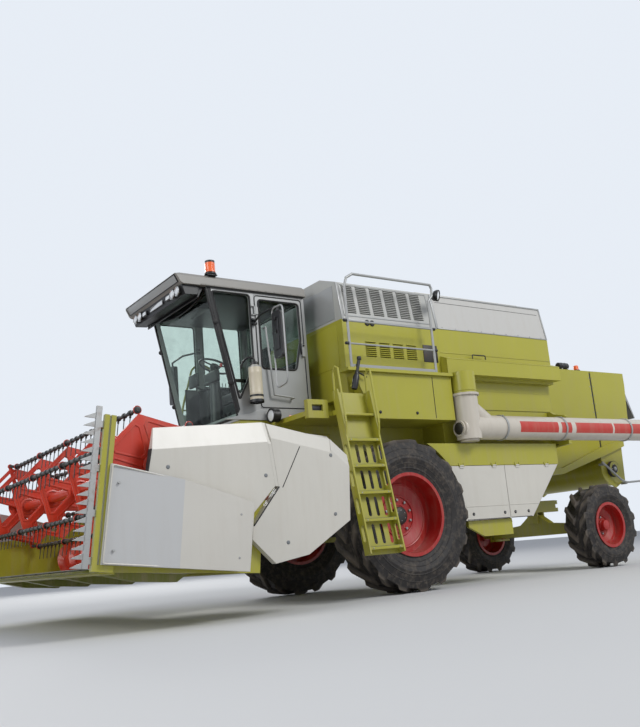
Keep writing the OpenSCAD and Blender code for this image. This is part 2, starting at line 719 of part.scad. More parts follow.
module cab_glass() color(pane) machine() {
    side_view(-cab_y + eps, cab_y - eps) polygon([
        [post_low[0] + 4, cab_floor_z], [post_low[0] + 4 + glass_t, cab_floor_z],
        [post_high[0] + glass_t, cab_top_z], [post_high[0], cab_top_z]]);
    side_view(cab_y - pillar_t - glass_t, cab_y - pillar_t) side_pane();
    side_view(-cab_y + pillar_t, -cab_y + pillar_t + glass_t) side_pane();
    box([cab_rear_x + 30, cab_rear_x + 30 + glass_t], [-cab_y + 100, cab_y - 100], [2980, cab_top_z - 40]);
    side_view(-cab_y + pillar_t, -cab_y + pillar_t + glass_t) intersection() {
        translate([0, 500]) door_hole(40);
        square([cab_post_x - 20, cab_top_z - 30]);
    }
}

module side_pane() polygon([[cab_post_x + 40, cab_floor_z + 620], [post_low[0] - 30, cab_floor_z + 180],
    [post_high[0] - 50, cab_top_z - 30], [cab_post_x + 40, cab_top_z - 30]]);

module cab_roof() color(steel) machine() {
    intersection() {
        side_view(-cab_y - 20, cab_y + 20) polygon([[cab_rear_x - 20, cab_top_z], [2560, cab_top_z],
            [2590, cab_top_z + 20], [roof_front_x, roof_top_z - 25], [2570, roof_top_z],
            [cab_rear_x - 20, roof_top_z]]);
        front_view(cab_rear_x - 30, roof_front_x + 10) polygon([[-cab_y - 20, cab_top_z - eps],
            [cab_y + 20, cab_top_z - eps], [cab_y + 10, roof_top_z - 45], [cab_y - 50, roof_top_z + eps],
            [-cab_y + 50, roof_top_z + eps], [-cab_y - 10, roof_top_z - 45]]);
    }
    both_sides() box([cab_rear_x - 20, 2330], [cab_y + 20 - eps, cab_y + 36], [cab_top_z, cab_top_z + 14]);
}

seat_z = cab_floor_z + 320;
// Steering wheel
wheel_x = 1785;
wheel_z = cab_floor_z + 810;
wheel_r = 200;

module driver_seat() color(black) machine() {
    box([1130, 1640], [-250, 250], [seat_z + run_gap, seat_z + 150]);
    side_view(-240, 240) polygon([[1130, seat_z + 140], [1250, seat_z + 140],
        [1160, seat_z + 760], [1050, seat_z + 760]]);
}

module cab_interior() color(black) machine() {
    box([1180, 1600], [-230, 230], [cab_floor_z, seat_z]);
    rod([wheel_x + 10, 0, cab_floor_z + eps], [wheel_x, 0, wheel_z + 5], 40);
    translate([wheel_x, 0, wheel_z]) rotate([0, -22, 0]) {
        rotate_extrude() translate([wheel_r, 0]) circle(r = 14, $fn = 16);
        for (a = [0, 120, 240]) rotate([0, 90, a]) cylinder(h = wheel_r, r = 10);
    }
    box([1300, 1700], [-640, -400], [cab_floor_z, 2800]);
}

door_inset = 4;

module cab_door() color(steel) machine() difference() {
    union() {
        side_view(cab_y - pillar_t, cab_y) difference() {
            door_hole(door_inset);
            rounded(window_r) door_window(0);
        }
        for (z = door_hinge_z) {
            upright(cab_post_x, door_hinge_y, 14, z - 48, z + 48);
            box([cab_post_x - 40, cab_post_x], [cab_y - eps, door_hinge_y + 8], [z - 48, z + 48]);
        }
        // Lever and handrail
        box([door_x[0] + 20, door_x[0] + 60], [cab_y - eps, cab_y + 35],
            [cab_floor_z + 800, cab_floor_z + 960]);
        bent_tube([[1490, cab_y - eps, 3330], [1490, cab_y + 60, 3330], [1430, cab_y + 60, 2480],
            [1150, cab_y + 60, 2450], [1150, cab_y - eps, 2450]], 12);
    }
    for (z = door_hinge_z) upright(cab_post_x, door_hinge_y, 8 + run_gap, z - 49, z + 49);
}

// Outline of the door's window, grown by a margin
module door_window(m) polygon([
    [door_x[0] + 55 - m, door_z[0] + 890 - m], [door_x[0] + 150 - m, door_z[0] + 500 - m],
    [door_x[1] - 60 + m, door_z[0] + 500 - m], [door_x[1] - 60 + m, door_z[1] - 60 + m],
    [door_x[0] + 55 - m, door_z[1] - 60 + m]]);

module door_glass() color(pane) machine() side_view(cab_y - pillar_t - glass_t, cab_y - pillar_t)
    door_window(18);

beacon_x = 2150;
headlamp_z = cab_floor_z + 10;

module lamps() color(black) machine() {
    lamp_z = cab_top_z - 55;
    side_view(-cab_y + 20, cab_y - 20) polygon([[2330, cab_top_z], [2360, cab_top_z - 110],
        [2520, cab_top_z - 120], [2560, cab_top_z]]);
    for (y = [-640, -500, 500, 640]) translate([2530, y, lamp_z]) rotate([0, 90, 0]) cylinder(h = 40, r = 45);
    box([2530, 2556], [-180, 180], [lamp_z - 22, lamp_z + 22]);
    upright(beacon_x, cab_y - 60, 45, roof_top_z, roof_top_z + 50);
    upright(beacon_x, cab_y - 60, 60, roof_top_z + 50 - eps, roof_top_z + 200);
    // Round headlamp in front of the platform
    translate([1440, cab_y + apron_t + 95, headlamp_z]) rotate([0, 90, 0]) {
        cylinder(h = 100, r = 80);
        cylinder(h = 30, r = 50, center = true);
    }
    box([1450, 1500], [cab_y + apron_t, cab_y + apron_t + 40], [headlamp_z - 20, headlamp_z + 20]);
}

module mirrors() color(black) machine() both_sides() {
    front_view(1665, 1720) rounded(30) translate([1360, 2790]) square([180, 550]);
    bent_tube([[cab_post_x + 32, cab_y, 3400], [cab_post_x + 32, cab_y + 60, 3400], [1690, 1100, 3420],
        [1690, 1450, 3400], [1690, 1450, 3300]], 14);
}

// Platform, ladder and railings

ladder_x = [550, 1050];
platform_top_z = cab_floor_z - 30;
platform_t = 60;
platform_y = 1480;
platform_front_x = 1400;

module platform() color(lime) machine() {
    deck = [platform_top_z - platform_t, platform_top_z];
    box([body_front_x, 1900], [-cab_y, cab_y], deck);
    box([body_front_x, platform_front_x], [cab_y - eps, platform_y], deck);
    box([body_front_x - 100, body_front_x + eps], [cab_y + 10, platform_y], deck);
    // Lamp bracket at the platform's front corner
    difference() {
        box([ladder_x[1] + 60, platform_front_x], [platform_y - 60, platform_y + 10],
            [platform_top_z - 90, platform_top_z + 130]);
        box([ladder_x[1] + 140, platform_front_x - 60], [platform_y - 20, platform_y + 20],
            [platform_top_z - 10, platform_top_z + 70]);
    }
    both_sides() box([body_front_x, 1850], [cab_y - 60, cab_y], [platform_top_z - 160, deck[0] + eps]);
}

ladder_top = [platform_y + 20, platform_top_z + 220];
ladder_low = [1850, 480];
ladder_lean = atan2(ladder_low[0] - ladder_top[0], ladder_top[1] - ladder_low[1]);
ladder_len = norm(ladder_top - ladder_low);
ladder_depth = 110;
tread_z = [540, 850, 1160, 1470, 1780];
stringer_t = 20;
riser_slots = 4;
slot_r = 22;

// Distance from the machine's middle of the ladder's inner edge at a height
function ladder_y(z) = ladder_top[0] + (ladder_top[1] - z) * tan(ladder_lean);

// Height of the middle of a gap between two treads, in the ladder's sloping frame
function gap_z(i) = -(ladder_top[1] - (tread_z[i] + tread_z[i + 1]) / 2 - 15) / cos(ladder_lean);

// Places a part in the ladder's sloping frame, whose origin is the top of its inner edge
module on_ladder() translate([0, ladder_top[0], ladder_top[1]]) rotate([ladder_lean, 0, 0]) children();

// Two ends and the middle of a slot through a sheet, drawn in its plane
module slot(r, length) {
    for (s = [-1, 1]) translate([0, s * (length / 2 - r)]) circle(r = r);
    square([2 * r, length - 2 * r], center = true);
}

module ladder() color(lime) machine() {
    inner_x = [ladder_x[0] + stringer_t, ladder_x[1] - stringer_t];
    pitch = (tread_z[1] - tread_z[0]) / cos(ladder_lean);
    on_ladder() {
        for (x = [ladder_x[0], inner_x[1]]) front_view(x, x + stringer_t) difference() {
            translate([0, -ladder_len]) square([ladder_depth, ladder_len]);
            for (i = [0 : 3]) translate([ladder_depth / 2, gap_z(i)]) slot(28, pitch * 0.6);
        }
        // Slotted sheet behind the treads
        translate([0, 5, 0]) rotate([90, 0, 0]) linear_extrude(5) difference() {
            translate([ladder_x[0] + eps, -ladder_len])
                square([ladder_x[1] - ladder_x[0] - 2 * eps, ladder_len]);
            for (i = [0 : 3], k = [0 : riser_slots - 1])
                translate([inner_x[0] + (k + 0.5) * (inner_x[1] - inner_x[0]) / riser_slots, gap_z(i)])
                slot(slot_r, pitch * 0.72);
        }
    }
    for (z = tread_z)
        box([ladder_x[0] + eps, ladder_x[1] - eps], [ladder_y(z) + 2, ladder_y(z) + 105], [z, z + 30]);
    for (x = [ladder_x[0], inner_x[1]]) {
        box([x, x + stringer_t], [platform_y, ladder_y(platform_top_z) + 10],
            [platform_top_z - platform_t, platform_top_z]);
        bent_tube([[x + 10, ladder_y(2300) + 30, 2300], [x + 10, ladder_y(2300) + 30, 2620],
            [x + 10, ladder_y(2300) + 75, 2680], [x + 10, ladder_y(2300) + 130, 2650],
            [x + 10, ladder_y(2000) + 150, 2000], [x + 10, ladder_y(1850) + 100, 1850]], 13);
    }
}

rail_y = 1480;
rail_r = 17;

module railings() color(steel) machine() {
    bent_tube([[700, rail_y, deck_z + 20], [700, rail_y, 3760], [660, rail_y, 3870], [560, rail_y, 3930],
        [-740, rail_y, 3930], [-760, rail_y, 3880], [-755, rail_y, 3780], [-680, rail_y, 3690],
        [-680, rail_y, deck_z + 20]], rail_r);
    for (z = [3310, 3020]) rod([700, rail_y, z], [-680, rail_y, z], 12);
    box([-690, 710], [rail_y - 4, rail_y + 4], [deck_z + 20, deck_z + 60]);
}

// Unloading auger

tube_r = tube_d / 2;
swivel_z = 2450;

module auger_turret() color(lime) machine() {
    upright(swivel_x, tube_y, tube_r, swivel_z + run_gap, deck_z + 40);
    box([swivel_x - 100, swivel_x + 100], [1200, tube_y], [2565, deck_z - 20]);
    // Cradle under the parked tube
    difference() {
        front_view(-3120, -3060) polygon([
            [1200, tube_z + 285], [1200, tube_z - 245], [tube_y + 60, tube_z - tube_r - 60],
            [tube_y + 60, tube_z - tube_r - 8], [tube_y - 60, tube_z - tube_r + 20], [1270, tube_z],
            [tube_y - 60, tube_z + tube_r - 20], [tube_y + 50, tube_z + tube_r + 8],
            [tube_y + 50, tube_z + tube_r + 30], [1320, tube_z + 240], [1250, tube_z + 285]]);
        translate([-3200, tube_y, tube_z]) rotate([0, 90, 0]) cylinder(h = 200, r = tube_r + 6);
    }
}

module unloading_tube() color("wheat") machine() {
    translate([swivel_x - tube_len, tube_y, tube_z]) rotate([0, 90, 0]) difference() {
        cylinder(h = tube_len, r = tube_r);
        translate([0, 0, -eps]) cylinder(h = tube_len - 400, r = tube_r - 8);
    }
    // Flanges, slanting neck and the gearbox at the tube's front end
    for (x = [-600, -1800, -3300]) translate([swivel_x + x, tube_y, tube_z]) rotate([0, 90, 0]) difference() {
        cylinder(h = 24, r = tube_r + 7);
        translate([0, 0, -eps]) cylinder(h = 30, r = tube_r - 4);
    }
    rod([swivel_x - 420, tube_y, tube_z], [swivel_x, tube_y, swivel_z - 150], 125);
    translate([swivel_x, tube_y, tube_z - 20]) rotate([0, 90, 0]) {
        cylinder(h = 178, r = 105);
        cylinder(h = 150, r = 125);
    }
    upright(swivel_x, tube_y, tube_r, tube_z - tube_r, swivel_z);
    upright(swivel_x, tube_y, tube_r - 40, tube_z - tube_r - 28, tube_z);
    upright(swivel_x, tube_y, tube_r + 25, swivel_z - 30, swivel_z);
}

// Feeder house and its lift

auger_axis = [200, 280];
trough_r = auger_r + 20;
wall_u = auger_axis[0] - trough_r;
feeder_end = wall_u - sheet_t - run_gap;
feeder_mouth_w = [90, 640];
mouth_low = header_point(feeder_end, feeder_mouth_w[0] - feeder_t);
mouth_top = header_point(feeder_end, feeder_mouth_w[1] + feeder_t);
lift_eye = [1750, 700];
lug_pin_r = 20;

// Side view of the feeder house, shrunk by a wall
module feeder_outline(t, out) {
    r = feeder_r - t;
    low = header_point(feeder_end + out, feeder_mouth_w[0] - feeder_t + t);
    top = header_point(feeder_end + out, feeder_mouth_w[1] + feeder_t - t);
    polygon([low, touch(low, pivot, r, -1), pivot, touch(top, pivot, r, 1), top]);
    translate(pivot) circle(r = r);
}

module feeder_house() color(lime) machine() {
    difference() {
        union() {
            side_view(-feeder_w / 2, feeder_w / 2) feeder_outline(0, 0);
            both_sides() across(pivot[0], pivot[1], feeder_pin_r, feeder_w / 2 - eps, cheek_y + pin_depth);
            both_sides() for (y = [lift_y - 60, lift_y + 36]) side_view(y, y + 24)
                polygon([[1600, 860], [1700, 660], [1800, 660], [1950, 750]]);
        }
        side_view(-feeder_w / 2 + feeder_t, feeder_w / 2 - feeder_t) feeder_outline(feeder_t, 5);
    }
    both_sides() across(lift_eye[0], lift_eye[1], lug_pin_r, lift_y - 60 + eps, lift_y + 60 - eps);
}

lift_angle = atan2(lift_eye[1] - lift_base[1], lift_eye[0] - lift_base[0]);
lift_len = norm(lift_eye - lift_base);
lift_rod_r = 28;
barrel_len = 900;
rod_start = 400;
rod_gap = 9;

// Places a lift cylinder with its base pin at the origin and its rod along +X
module lift_frame() machine() both_sides() translate([lift_base[0], lift_y, lift_base[1]])
    rotate([0, -lift_angle, 0]) children();

module lift_barrels() color(lime) lift_frame() difference() {
    union() {
        across(0, 0, 45, -40, 40);
        rotate([0, 90, 0]) cylinder(h = barrel_len, r = barrel_r);
    }
    across(0, 0, lift_pin_r + run_gap, -60, 60);
    translate([120, 0, 0]) rotate([0, 90, 0]) cylinder(h = barrel_len, r = lift_rod_r + run_gap);
}

module lift_rods() color(steel) lift_frame() difference() {
    union() {
        translate([rod_start, 0, 0]) rotate([0, 90, 0])
            cylinder(h = lift_len - rod_start - lug_pin_r - rod_gap - 4, r = lift_rod_r);
        across(lift_len, 0, 48, -32, 32);
    }
    across(lift_len, 0, lug_pin_r + rod_gap, -60, 60);
}

// Header

header_y = header_w / 2;

module trough_sheet() {
    difference() {
        translate(auger_axis) circle(r = trough_r + sheet_t);
        translate(auger_axis) circle(r = trough_r);
        translate([auger_axis[0], -50]) square([600, 1000]);
        translate([-200, auger_axis[1]]) square([800, 600]);
    }
    translate([wall_u - sheet_t, auger_axis[1] - eps]) square([sheet_t, rear_wall_h - auger_axis[1]]);
    floor_w = auger_axis[1] - trough_r;
    polygon([[auger_axis[0] - eps, floor_w], [auger_axis[0] - eps, floor_w - sheet_t],
        [floor_len, -30], [floor_len, -30 + sheet_t]]);
}

beam_u = [wall_u - sheet_t - 60, wall_u - sheet_t + eps];
arm_pivot = [-150, rear_wall_h + 80];
end_t = 10;
post_u = [1440, 1500];
shaft_r = 30;

floor_rib_pitch = 150;
floor_rib_h = 14;

module end_wall() difference() {
    polygon([[-200, 0], [floor_len, -60], [floor_len, 420], [700, 560], [wall_u, rear_wall_h],
        [-200, rear_wall_h]]);
    translate(auger_axis) circle(r = shaft_r + run_gap);
}

module header_table() color(lime) header() {
    difference() {
        union() {
            side_view(-header_y, header_y) trough_sheet();
            box(beam_u, [-header_y, header_y], [rear_wall_h - 130, rear_wall_h]);
            box(beam_u, [-header_y, header_y], [0, feeder_mouth_w[0] - feeder_t - 5]);
            box([1250, floor_len], [-header_y, header_y], [-70, -25]);
            // Pressed ribs of the floor
            for (y = [floor_rib_pitch / 2 : floor_rib_pitch : header_y - 60])
                both_sides() side_view(y, y + 40) polygon([
                    [auger_axis[0] + 300, 0], [auger_axis[0] + 300, floor_rib_h],
                    [1230, floor_rib_h - 24], [1240, -28]]);
        }
        box([-100, 20], [-feeder_w / 2 + feeder_t, feeder_w / 2 - feeder_t], feeder_mouth_w);
    }
    both_sides() {
        side_view(header_y - eps, header_y + end_t) end_wall();
        for (y = [700, header_y - 200]) difference() {
            side_view(y, y + 20) {
                polygon([[beam_u[0] - 50, rear_wall_h - eps], [beam_u[1], rear_wall_h - eps],
                    [arm_pivot[0] + 60, arm_pivot[1]], [arm_pivot[0] - 60, arm_pivot[1]]]);
                translate(arm_pivot) circle(r = 60);
            }
            across(arm_pivot[0], arm_pivot[1], 40 + run_gap, 0, header_w);
        }
        // Ribs behind the rear wall
        for (y = [feeder_w / 2 + 120 : 210 : header_y - 60])
            box(beam_u, [y, y + 8], [60 - eps, rear_wall_h - 130 + eps]);
        // Front bracket and the two posts that carry the divider
        post_y = header_y + divider_gap;
        box([floor_len - 80, floor_len + eps], [header_y + end_t - eps, post_y + end_t], [-60, 0]);
        box([floor_len, post_u[1]], [post_y - 50, post_y + end_t], [-60, 0]);
        for (u = post_u) box([u - 44, u], [post_y - 40, post_y + end_t], [-60, 1300]);
        for (w = [300, 900]) box([-900, -200 + eps], [header_y - 40, header_y], [w, w + 50]);
    }
}

divider_y = header_y + end_t + divider_gap;
divider_fold_u = 720;
fold_in = 28;

module divider_panels() color(white) header() both_sides() {
    intersection() {
        side_view(divider_y, divider_y + divider_t)
            polygon([[-20, 647], [0, 0], [1430, 0], [1416, 864], [divider_fold_u, 788]]);
        // Folded upright in the middle
        translate([0, 0, -eps]) linear_extrude(1000) polygon([[-30, divider_y - eps], [1440, divider_y - eps],
            [1440, divider_y + divider_t - fold_in], [divider_fold_u, divider_y + divider_t],
            [-30, divider_y + divider_t - 8]]);
    }
    box([0, 1300], [header_y + end_t, divider_y + eps], [120, 170]);
}

knife_y = divider_y - 20;

module side_knives() color(steel) header() both_sides() {
    for (w = [0, 400, 790, 1180]) box([post_u[1], post_u[1] + 55], [knife_y - 60, knife_y], [w, w + 60]);
    box([knife_u - 30, knife_u + 20], [knife_y - 30, knife_y], [knife_low_w, 1370]);
    for (w = [knife_low_w : guard_pitch : 1300]) side_view(knife_y - 20, knife_y - 8)
        polygon([[knife_u, w], [knife_u, w + 64], [knife_tip_u - 10, w + 8], [knife_tip_u, w]]);
}

cover_t = 80;
front_cover = [[-290, 835], [-142, 1468], [1010, 1256], [1060, 640], [500, 480], [0, 480]];
rear_cover = [[-330, 835], [-182, 1460], [-662, 1421], [-923, 1423], [-1186, 1254], [-1209, 572], [-711, 198],
    [-331, 91], [-60, 300], [-60, 430]];

// Cuts the outer face of a cover back along its edge from p to q
module edge_fold(p, q, band, inset) translate([p[0], header_y + end_t + cover_t, p[1]])
    rotate([0, -atan2(q[1] - p[1], q[0] - p[0]), 0])
    front_view(-300, norm(q - p) + 300) polygon([[eps, -band], [eps, 20], [-inset, 20], [-inset, 0]]);

module drive_covers() color(white) header() {
    difference() {
        side_view(header_y + end_t, header_y + end_t + cover_t) polygon(front_cover);
        edge_fold(front_cover[1], front_cover[2], 210, 60);
    }
    difference() {
        side_view(header_y + end_t, header_y + end_t + cover_t) polygon(rear_cover);
        edge_fold(rear_cover[2], rear_cover[1], 150, 45);
        edge_fold(rear_cover[4], rear_cover[3], 110, 40);
    }
}

module cutter_bar() color(steel) header() {
    box([floor_len, floor_len + 60], [-header_y, header_y], [-60, -38]);
    for (y = [-header_y + guard_pitch / 2 : guard_pitch : header_y - guard_pitch / 4])
        side_view(y - 14, y + 14) polygon([[floor_len + 60 - eps, -60], [floor_len + 60 - eps, -36],
            [floor_len + 200, -60], [floor_len + 215, -70], [floor_len + 200, -74]]);
    both_sides() for (y = [600, 1700]) side_view(y, y + 160) polygon([[400, -24], [1249, -38],
        [1249, -60], [900, -110], [500, -100]]);
}

// A flight of the table auger as one closed helix
module flight(y0, y1, shaft, r_out, pitch) {
    steps_per_turn = 20;
    t = 6;
    r_in = shaft / cos(180 / steps_per_turn) + run_gap;
    n = ceil((y1 - y0) / pitch * steps_per_turn);
    points = [for (i = [0 : n]) let (a = i * 360 / steps_per_turn, y = y0 + i * (y1 - y0) / n)
        each [for (p = [[r_in, 0], [r_out, 0], [r_out, t], [r_in, t]])
            [p[0] * cos(a), y + p[1], p[0] * sin(a)]]];
    sides = [for (i = [0 : n - 1], k = [0 : 3]) let (a = i * 4 + k, b = i * 4 + (k + 1) % 4)
        each [[a, b + 4, b], [a, a + 4, b + 4]]];
    ends = [[0, 1, 2, 3], [n * 4 + 3, n * 4 + 2, n * 4 + 1, n * 4]];
    polyhedron(points, concat(sides, ends));
}

auger_end = header_y - 25;
flight_inner = feeder_w / 2 + 30;
fingers = 8;
finger_pitch = 140;

module table_auger() color(red) header() translate([auger_axis[0], 0, auger_axis[1]]) {
    across(0, 0, drum_r, -auger_end, auger_end);
    across(0, 0, shaft_r, -header_y - end_t, header_y + end_t);
    both_sides() flight(flight_inner, auger_end - 8, drum_r, auger_r, 460);
    for (i = [0 : fingers - 1])
        translate([0, (i - (fingers - 1) / 2) * finger_pitch, 0]) rotate([0, i * 105, 0])
        cylinder(h = auger_r - 10, r = 9);
}

// Reel

bars = 6;
end_y = header_y - 150;
spider_t = 10;
ridge_h = 7;
spider_y = [-end_y, -end_y / 2, 0, end_y / 2, end_y];
arm_t = 40;
arm_gap = 66;
ring_y = -end_y - 50;

module reel_frame() header() translate([reel_u, 0, reel_w]) children();

// Star plate in side view, with a hole for each tine bar
module spider_plate(open) difference() {
    union() {
        circle(r = reel_r * 0.93, $fn = 6);
        for (i = [0 : bars - 1]) rotate(i * 360 / bars) translate([reel_r, 0]) circle(r = 42);
    }
    for (i = [0 : bars - 1]) rotate(i * 360 / bars) translate([reel_r, 0]) circle(r = bar_r + run_gap);
    if (open) for (i = [0 : bars - 1]) rotate((i + 0.5) * 360 / bars) spider_window(0);
}

// Window between two spokes, grown by a margin
module spider_window(m) polygon([[reel_tube_r + 95 - 1.6 * m, 28 + m * 0.2], [reel_r * 0.64, 150 + m * 1.2],
    [reel_r * 0.7 + m, 138 + m], [reel_r * 0.7 + m, -138 - m], [reel_r * 0.64, -150 - m * 1.2],
    [reel_tube_r + 95 - 1.6 * m, -28 - m * 0.2]]);

module reel() color(red) reel_frame() {
    across(0, 0, reel_tube_r, -end_y, end_y);
    across(0, 0, shaft_r, -end_y - arm_gap - arm_t, end_y + arm_gap + arm_t);
    for (y = spider_y) side_view(y - spider_t / 2, y + spider_t / 2) rotate(reel_phase)
        spider_plate(y < end_y);
    // Pressed ridges round the windows
    for (y = spider_y, i = [0 : bars - 1])
        side_view(y - spider_t / 2 - ridge_h, y + spider_t / 2 + ridge_h)
        rotate(reel_phase + (i + 0.5) * 360 / bars) difference() {
            spider_window(24);
            spider_window(8);
        }
}

bar_reach = end_y + 20;

// A tine bar that keeps its tines pointing down, with a crank to the control ring
module tine_bar(i) color(black) reel_frame() {
    a = reel_phase + i * 360 / bars;
    translate([reel_r * cos(a), 0, reel_r * sin(a)]) {
        across(0, 0, bar_r, -bar_reach, bar_reach);
        for (y = [-end_y + 60 : tine_pitch : end_y - 40]) if (min([for (s = spider_y) abs(y - s)]) > 20)
            upright(0, y, 5, -tine_len, 0);
        side_view(-bar_reach - 10, -bar_reach) {
            circle(r = bar_r + 8);
            translate([0, -bar_r]) square([crank_len, 2 * bar_r]);
            translate([crank_len, 0]) circle(r = bar_r);
        }
        across(crank_len, 0, 10, ring_y - 6, -bar_reach);
    }
}

module tine_bar_1() tine_bar(0);
module tine_bar_2() tine_bar(1);
module tine_bar_3() tine_bar(2);
module tine_bar_4() tine_bar(3);
module tine_bar_5() tine_bar(4);
module tine_bar_6() tine_bar(5);

cam_r = crank_len + shaft_r + 20;

// Ring on the fixed cam of the right arm, whose offset keeps every crank level
module control_ring() color(red) reel_frame() translate([crank_len, 0, 0])
    side_view(ring_y - 5, ring_y + 5) rotate(reel_phase) difference() {
        union() {
            circle(r = cam_r + 34);
            for (i = [0 : bars - 1]) rotate(i * 360 / bars) {
                translate([cam_r + 20, -24]) square([reel_r - cam_r - 20, 48]);
                translate([reel_r, 0]) circle(r = 30);
            }
            difference() {
                circle(r = reel_r * 0.95, $fn = 6);
                circle(r = reel_r * 0.86, $fn = 6);
            }
        }
        circle(r = cam_r + 0.8);
        for (i = [0 : bars - 1]) rotate(i * 360 / bars) translate([reel_r, 0]) circle(r = 10 + run_gap);
    }

module reel_arms() color(red) header() {
    arm_y = end_y + arm_gap;
    across(arm_pivot[0], arm_pivot[1], 40, -arm_y - arm_t, arm_y + arm_t);
    difference() {
        both_sides() side_view(arm_y, arm_y + arm_t) {
            polygon([[arm_pivot[0], arm_pivot[1] - 60], [reel_u, reel_w - 55], [reel_u, reel_w + 55],
                [arm_pivot[0], arm_pivot[1] + 60]]);
            translate(arm_pivot) circle(r = 60);
            translate([reel_u, reel_w]) circle(r = 55);
        }
        across(reel_u, reel_w, shaft_r + run_gap, -header_w, header_w);
    }
    // Cam on the right arm
    difference() {
        across(reel_u + crank_len, reel_w, cam_r, -arm_y + run_gap, ring_y + 8);
        across(reel_u, reel_w, shaft_r + run_gap, -header_w, header_w);
    }
}

chassis_frame();
front_axle();
rear_axle();
knuckle_left();
knuckle_right();
tie_rod();
front_rim_left();
front_rim_right();
front_tyre_left();
front_tyre_right();
rear_rim_left();
rear_rim_right();
rear_tyre_left();
rear_tyre_right();
threshing_body();
side_bands();
side_door_front_left();
side_door_rear_left();
side_door_front_right();
side_door_rear_right();
engine_bay();
engine_block();
grain_tank();
tank_lid_left();
tank_lid_right();
straw_hood();
hood_flap();
chopper();
cab_shell();
cab_glass();
cab_roof();
cab_interior();
driver_seat();
cab_door();
door_glass();
lamps();
mirrors();
platform();
ladder();
railings();
auger_turret();
unloading_tube();
feeder_house();
lift_barrels();
lift_rods();
header_table();
divider_panels();
side_knives();
drive_covers();
cutter_bar();
table_auger();
reel_arms();
reel();
control_ring();
tine_bar_1();
tine_bar_2();
tine_bar_3();
tine_bar_4();
tine_bar_5();
tine_bar_6();
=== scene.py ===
import math

import bmesh
import bpy
from mathutils import Matrix, Vector


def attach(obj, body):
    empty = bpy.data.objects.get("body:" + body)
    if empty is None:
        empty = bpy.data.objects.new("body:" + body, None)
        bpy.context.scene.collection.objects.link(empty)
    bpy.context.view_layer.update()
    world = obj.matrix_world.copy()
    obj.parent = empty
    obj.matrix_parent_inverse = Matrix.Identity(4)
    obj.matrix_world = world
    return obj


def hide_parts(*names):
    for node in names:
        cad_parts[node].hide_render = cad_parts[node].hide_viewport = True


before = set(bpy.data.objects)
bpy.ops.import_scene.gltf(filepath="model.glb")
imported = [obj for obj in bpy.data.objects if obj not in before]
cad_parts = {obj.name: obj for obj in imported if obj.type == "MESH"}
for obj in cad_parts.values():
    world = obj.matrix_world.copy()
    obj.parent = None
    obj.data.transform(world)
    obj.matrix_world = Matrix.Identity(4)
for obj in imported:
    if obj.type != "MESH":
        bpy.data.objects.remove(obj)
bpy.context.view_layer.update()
print("frame loaded")

midX = -0.71882  # the machine is measured from its front axle, which lies this far ahead of the origin
headerPlace = (2.8, 0, 0.44)
headerTilt = math.radians(7)
machineFrame = Matrix.Translation((-midX, 0, 0))
headerFrame = machineFrame @ Matrix.Translation(headerPlace) @ Matrix.Rotation(-headerTilt, 4, "Y")
ahead, left, up = (1, 0, 0), (0, 1, 0), (0, 0, 1)
frontWheel = {"x": 0.0, "radius": 0.92}
rearWheel = {"x": -3.87, "radius": 0.60}


def addObject(name, data):
    made = bpy.data.objects.new(name, data)
    bpy.context.scene.collection.objects.link(made)
    return made


# Nodes

# Links an input that is given as a socket, and sets any other
def feed(tree, node, inputs):
    for key, value in inputs.items():
        if isinstance(value, bpy.types.NodeSocket):
            tree.links.new(value, node.inputs[key])
        else:
            node.inputs[key].default_value = value
    return node


def addNode(tree, kind, inputs, **settings):
    made = tree.nodes.new(kind)
    for key, value in settings.items():
        setattr(made, key, value)
    return feed(tree, made, inputs)


def calc(tree, operation, first, *others):
    for other in others:
        first = addNode(tree, "ShaderNodeMath", {0: first, 1: other}, operation=operation).outputs[0]
    return first


def times(tree, *factors):
    return calc(tree, "MULTIPLY", *factors)


def plus(tree, *terms):
    return calc(tree, "ADD", *terms)


def remap(tree, value, low, high, toLow=0.0, toHigh=1.0):
    return addNode(tree, "ShaderNodeMapRange", {0: value, 1: low, 2: high, 3: toLow, 4: toHigh}).outputs[0]


def blendColour(tree, amount, a, b):
    return addNode(tree, "ShaderNodeMix", {0: amount, 6: a, 7: b}, data_type="RGBA").outputs[2]


def noise(tree, vector, scale, detail=4.0, rough=0.55):
    inputs = {"Vector": vector, "Scale": scale, "Detail": detail, "Roughness": rough}
    return addNode(tree, "ShaderNodeTexNoise", inputs).outputs[0]


def waves(tree, place, scale, distortion, direction):
    inputs = {"Vector": place, "Scale": scale, "Distortion": distortion}
    return addNode(tree, "ShaderNodeTexWave", inputs, bands_direction=direction).outputs[1]


def stretched(tree, place, scale):
    return addNode(tree, "ShaderNodeMapping", {0: place, 3: scale}).outputs[0]


def dotProduct(tree, a, b):
    return addNode(tree, "ShaderNodeVectorMath", {0: a, 1: b}, operation="DOT_PRODUCT").outputs["Value"]


def roundedNormal(tree, radius):
    return addNode(tree, "ShaderNodeBevel", {0: radius}, samples=4).outputs[0]


def bump(tree, height, strength, distance, **normal):
    inputs = {"Strength": strength, "Distance": distance, "Height": height, **normal}
    return addNode(tree, "ShaderNodeBump", inputs).outputs[0]


# Screen colour to Blender's own, brighter or darker by a factor
def shade(colour, factor=1.0):
    parts = [c / 12.92 if c <= 0.04045 else ((c + 0.055) / 1.055) ** 2.4 for c in (v / 255 for v in colour)]
    return (*(min(1.0, c * factor) for c in parts), 1)


finishes = {}


def newFinish(name):
    material = bpy.data.materials.new(name)
    material.use_nodes = True
    finishes[name] = material
    tree = material.node_tree
    return tree, tree.nodes["Principled BSDF"], addNode(tree, "ShaderNodeTexCoord", {}).outputs["Object"]


# Camera, light and floor

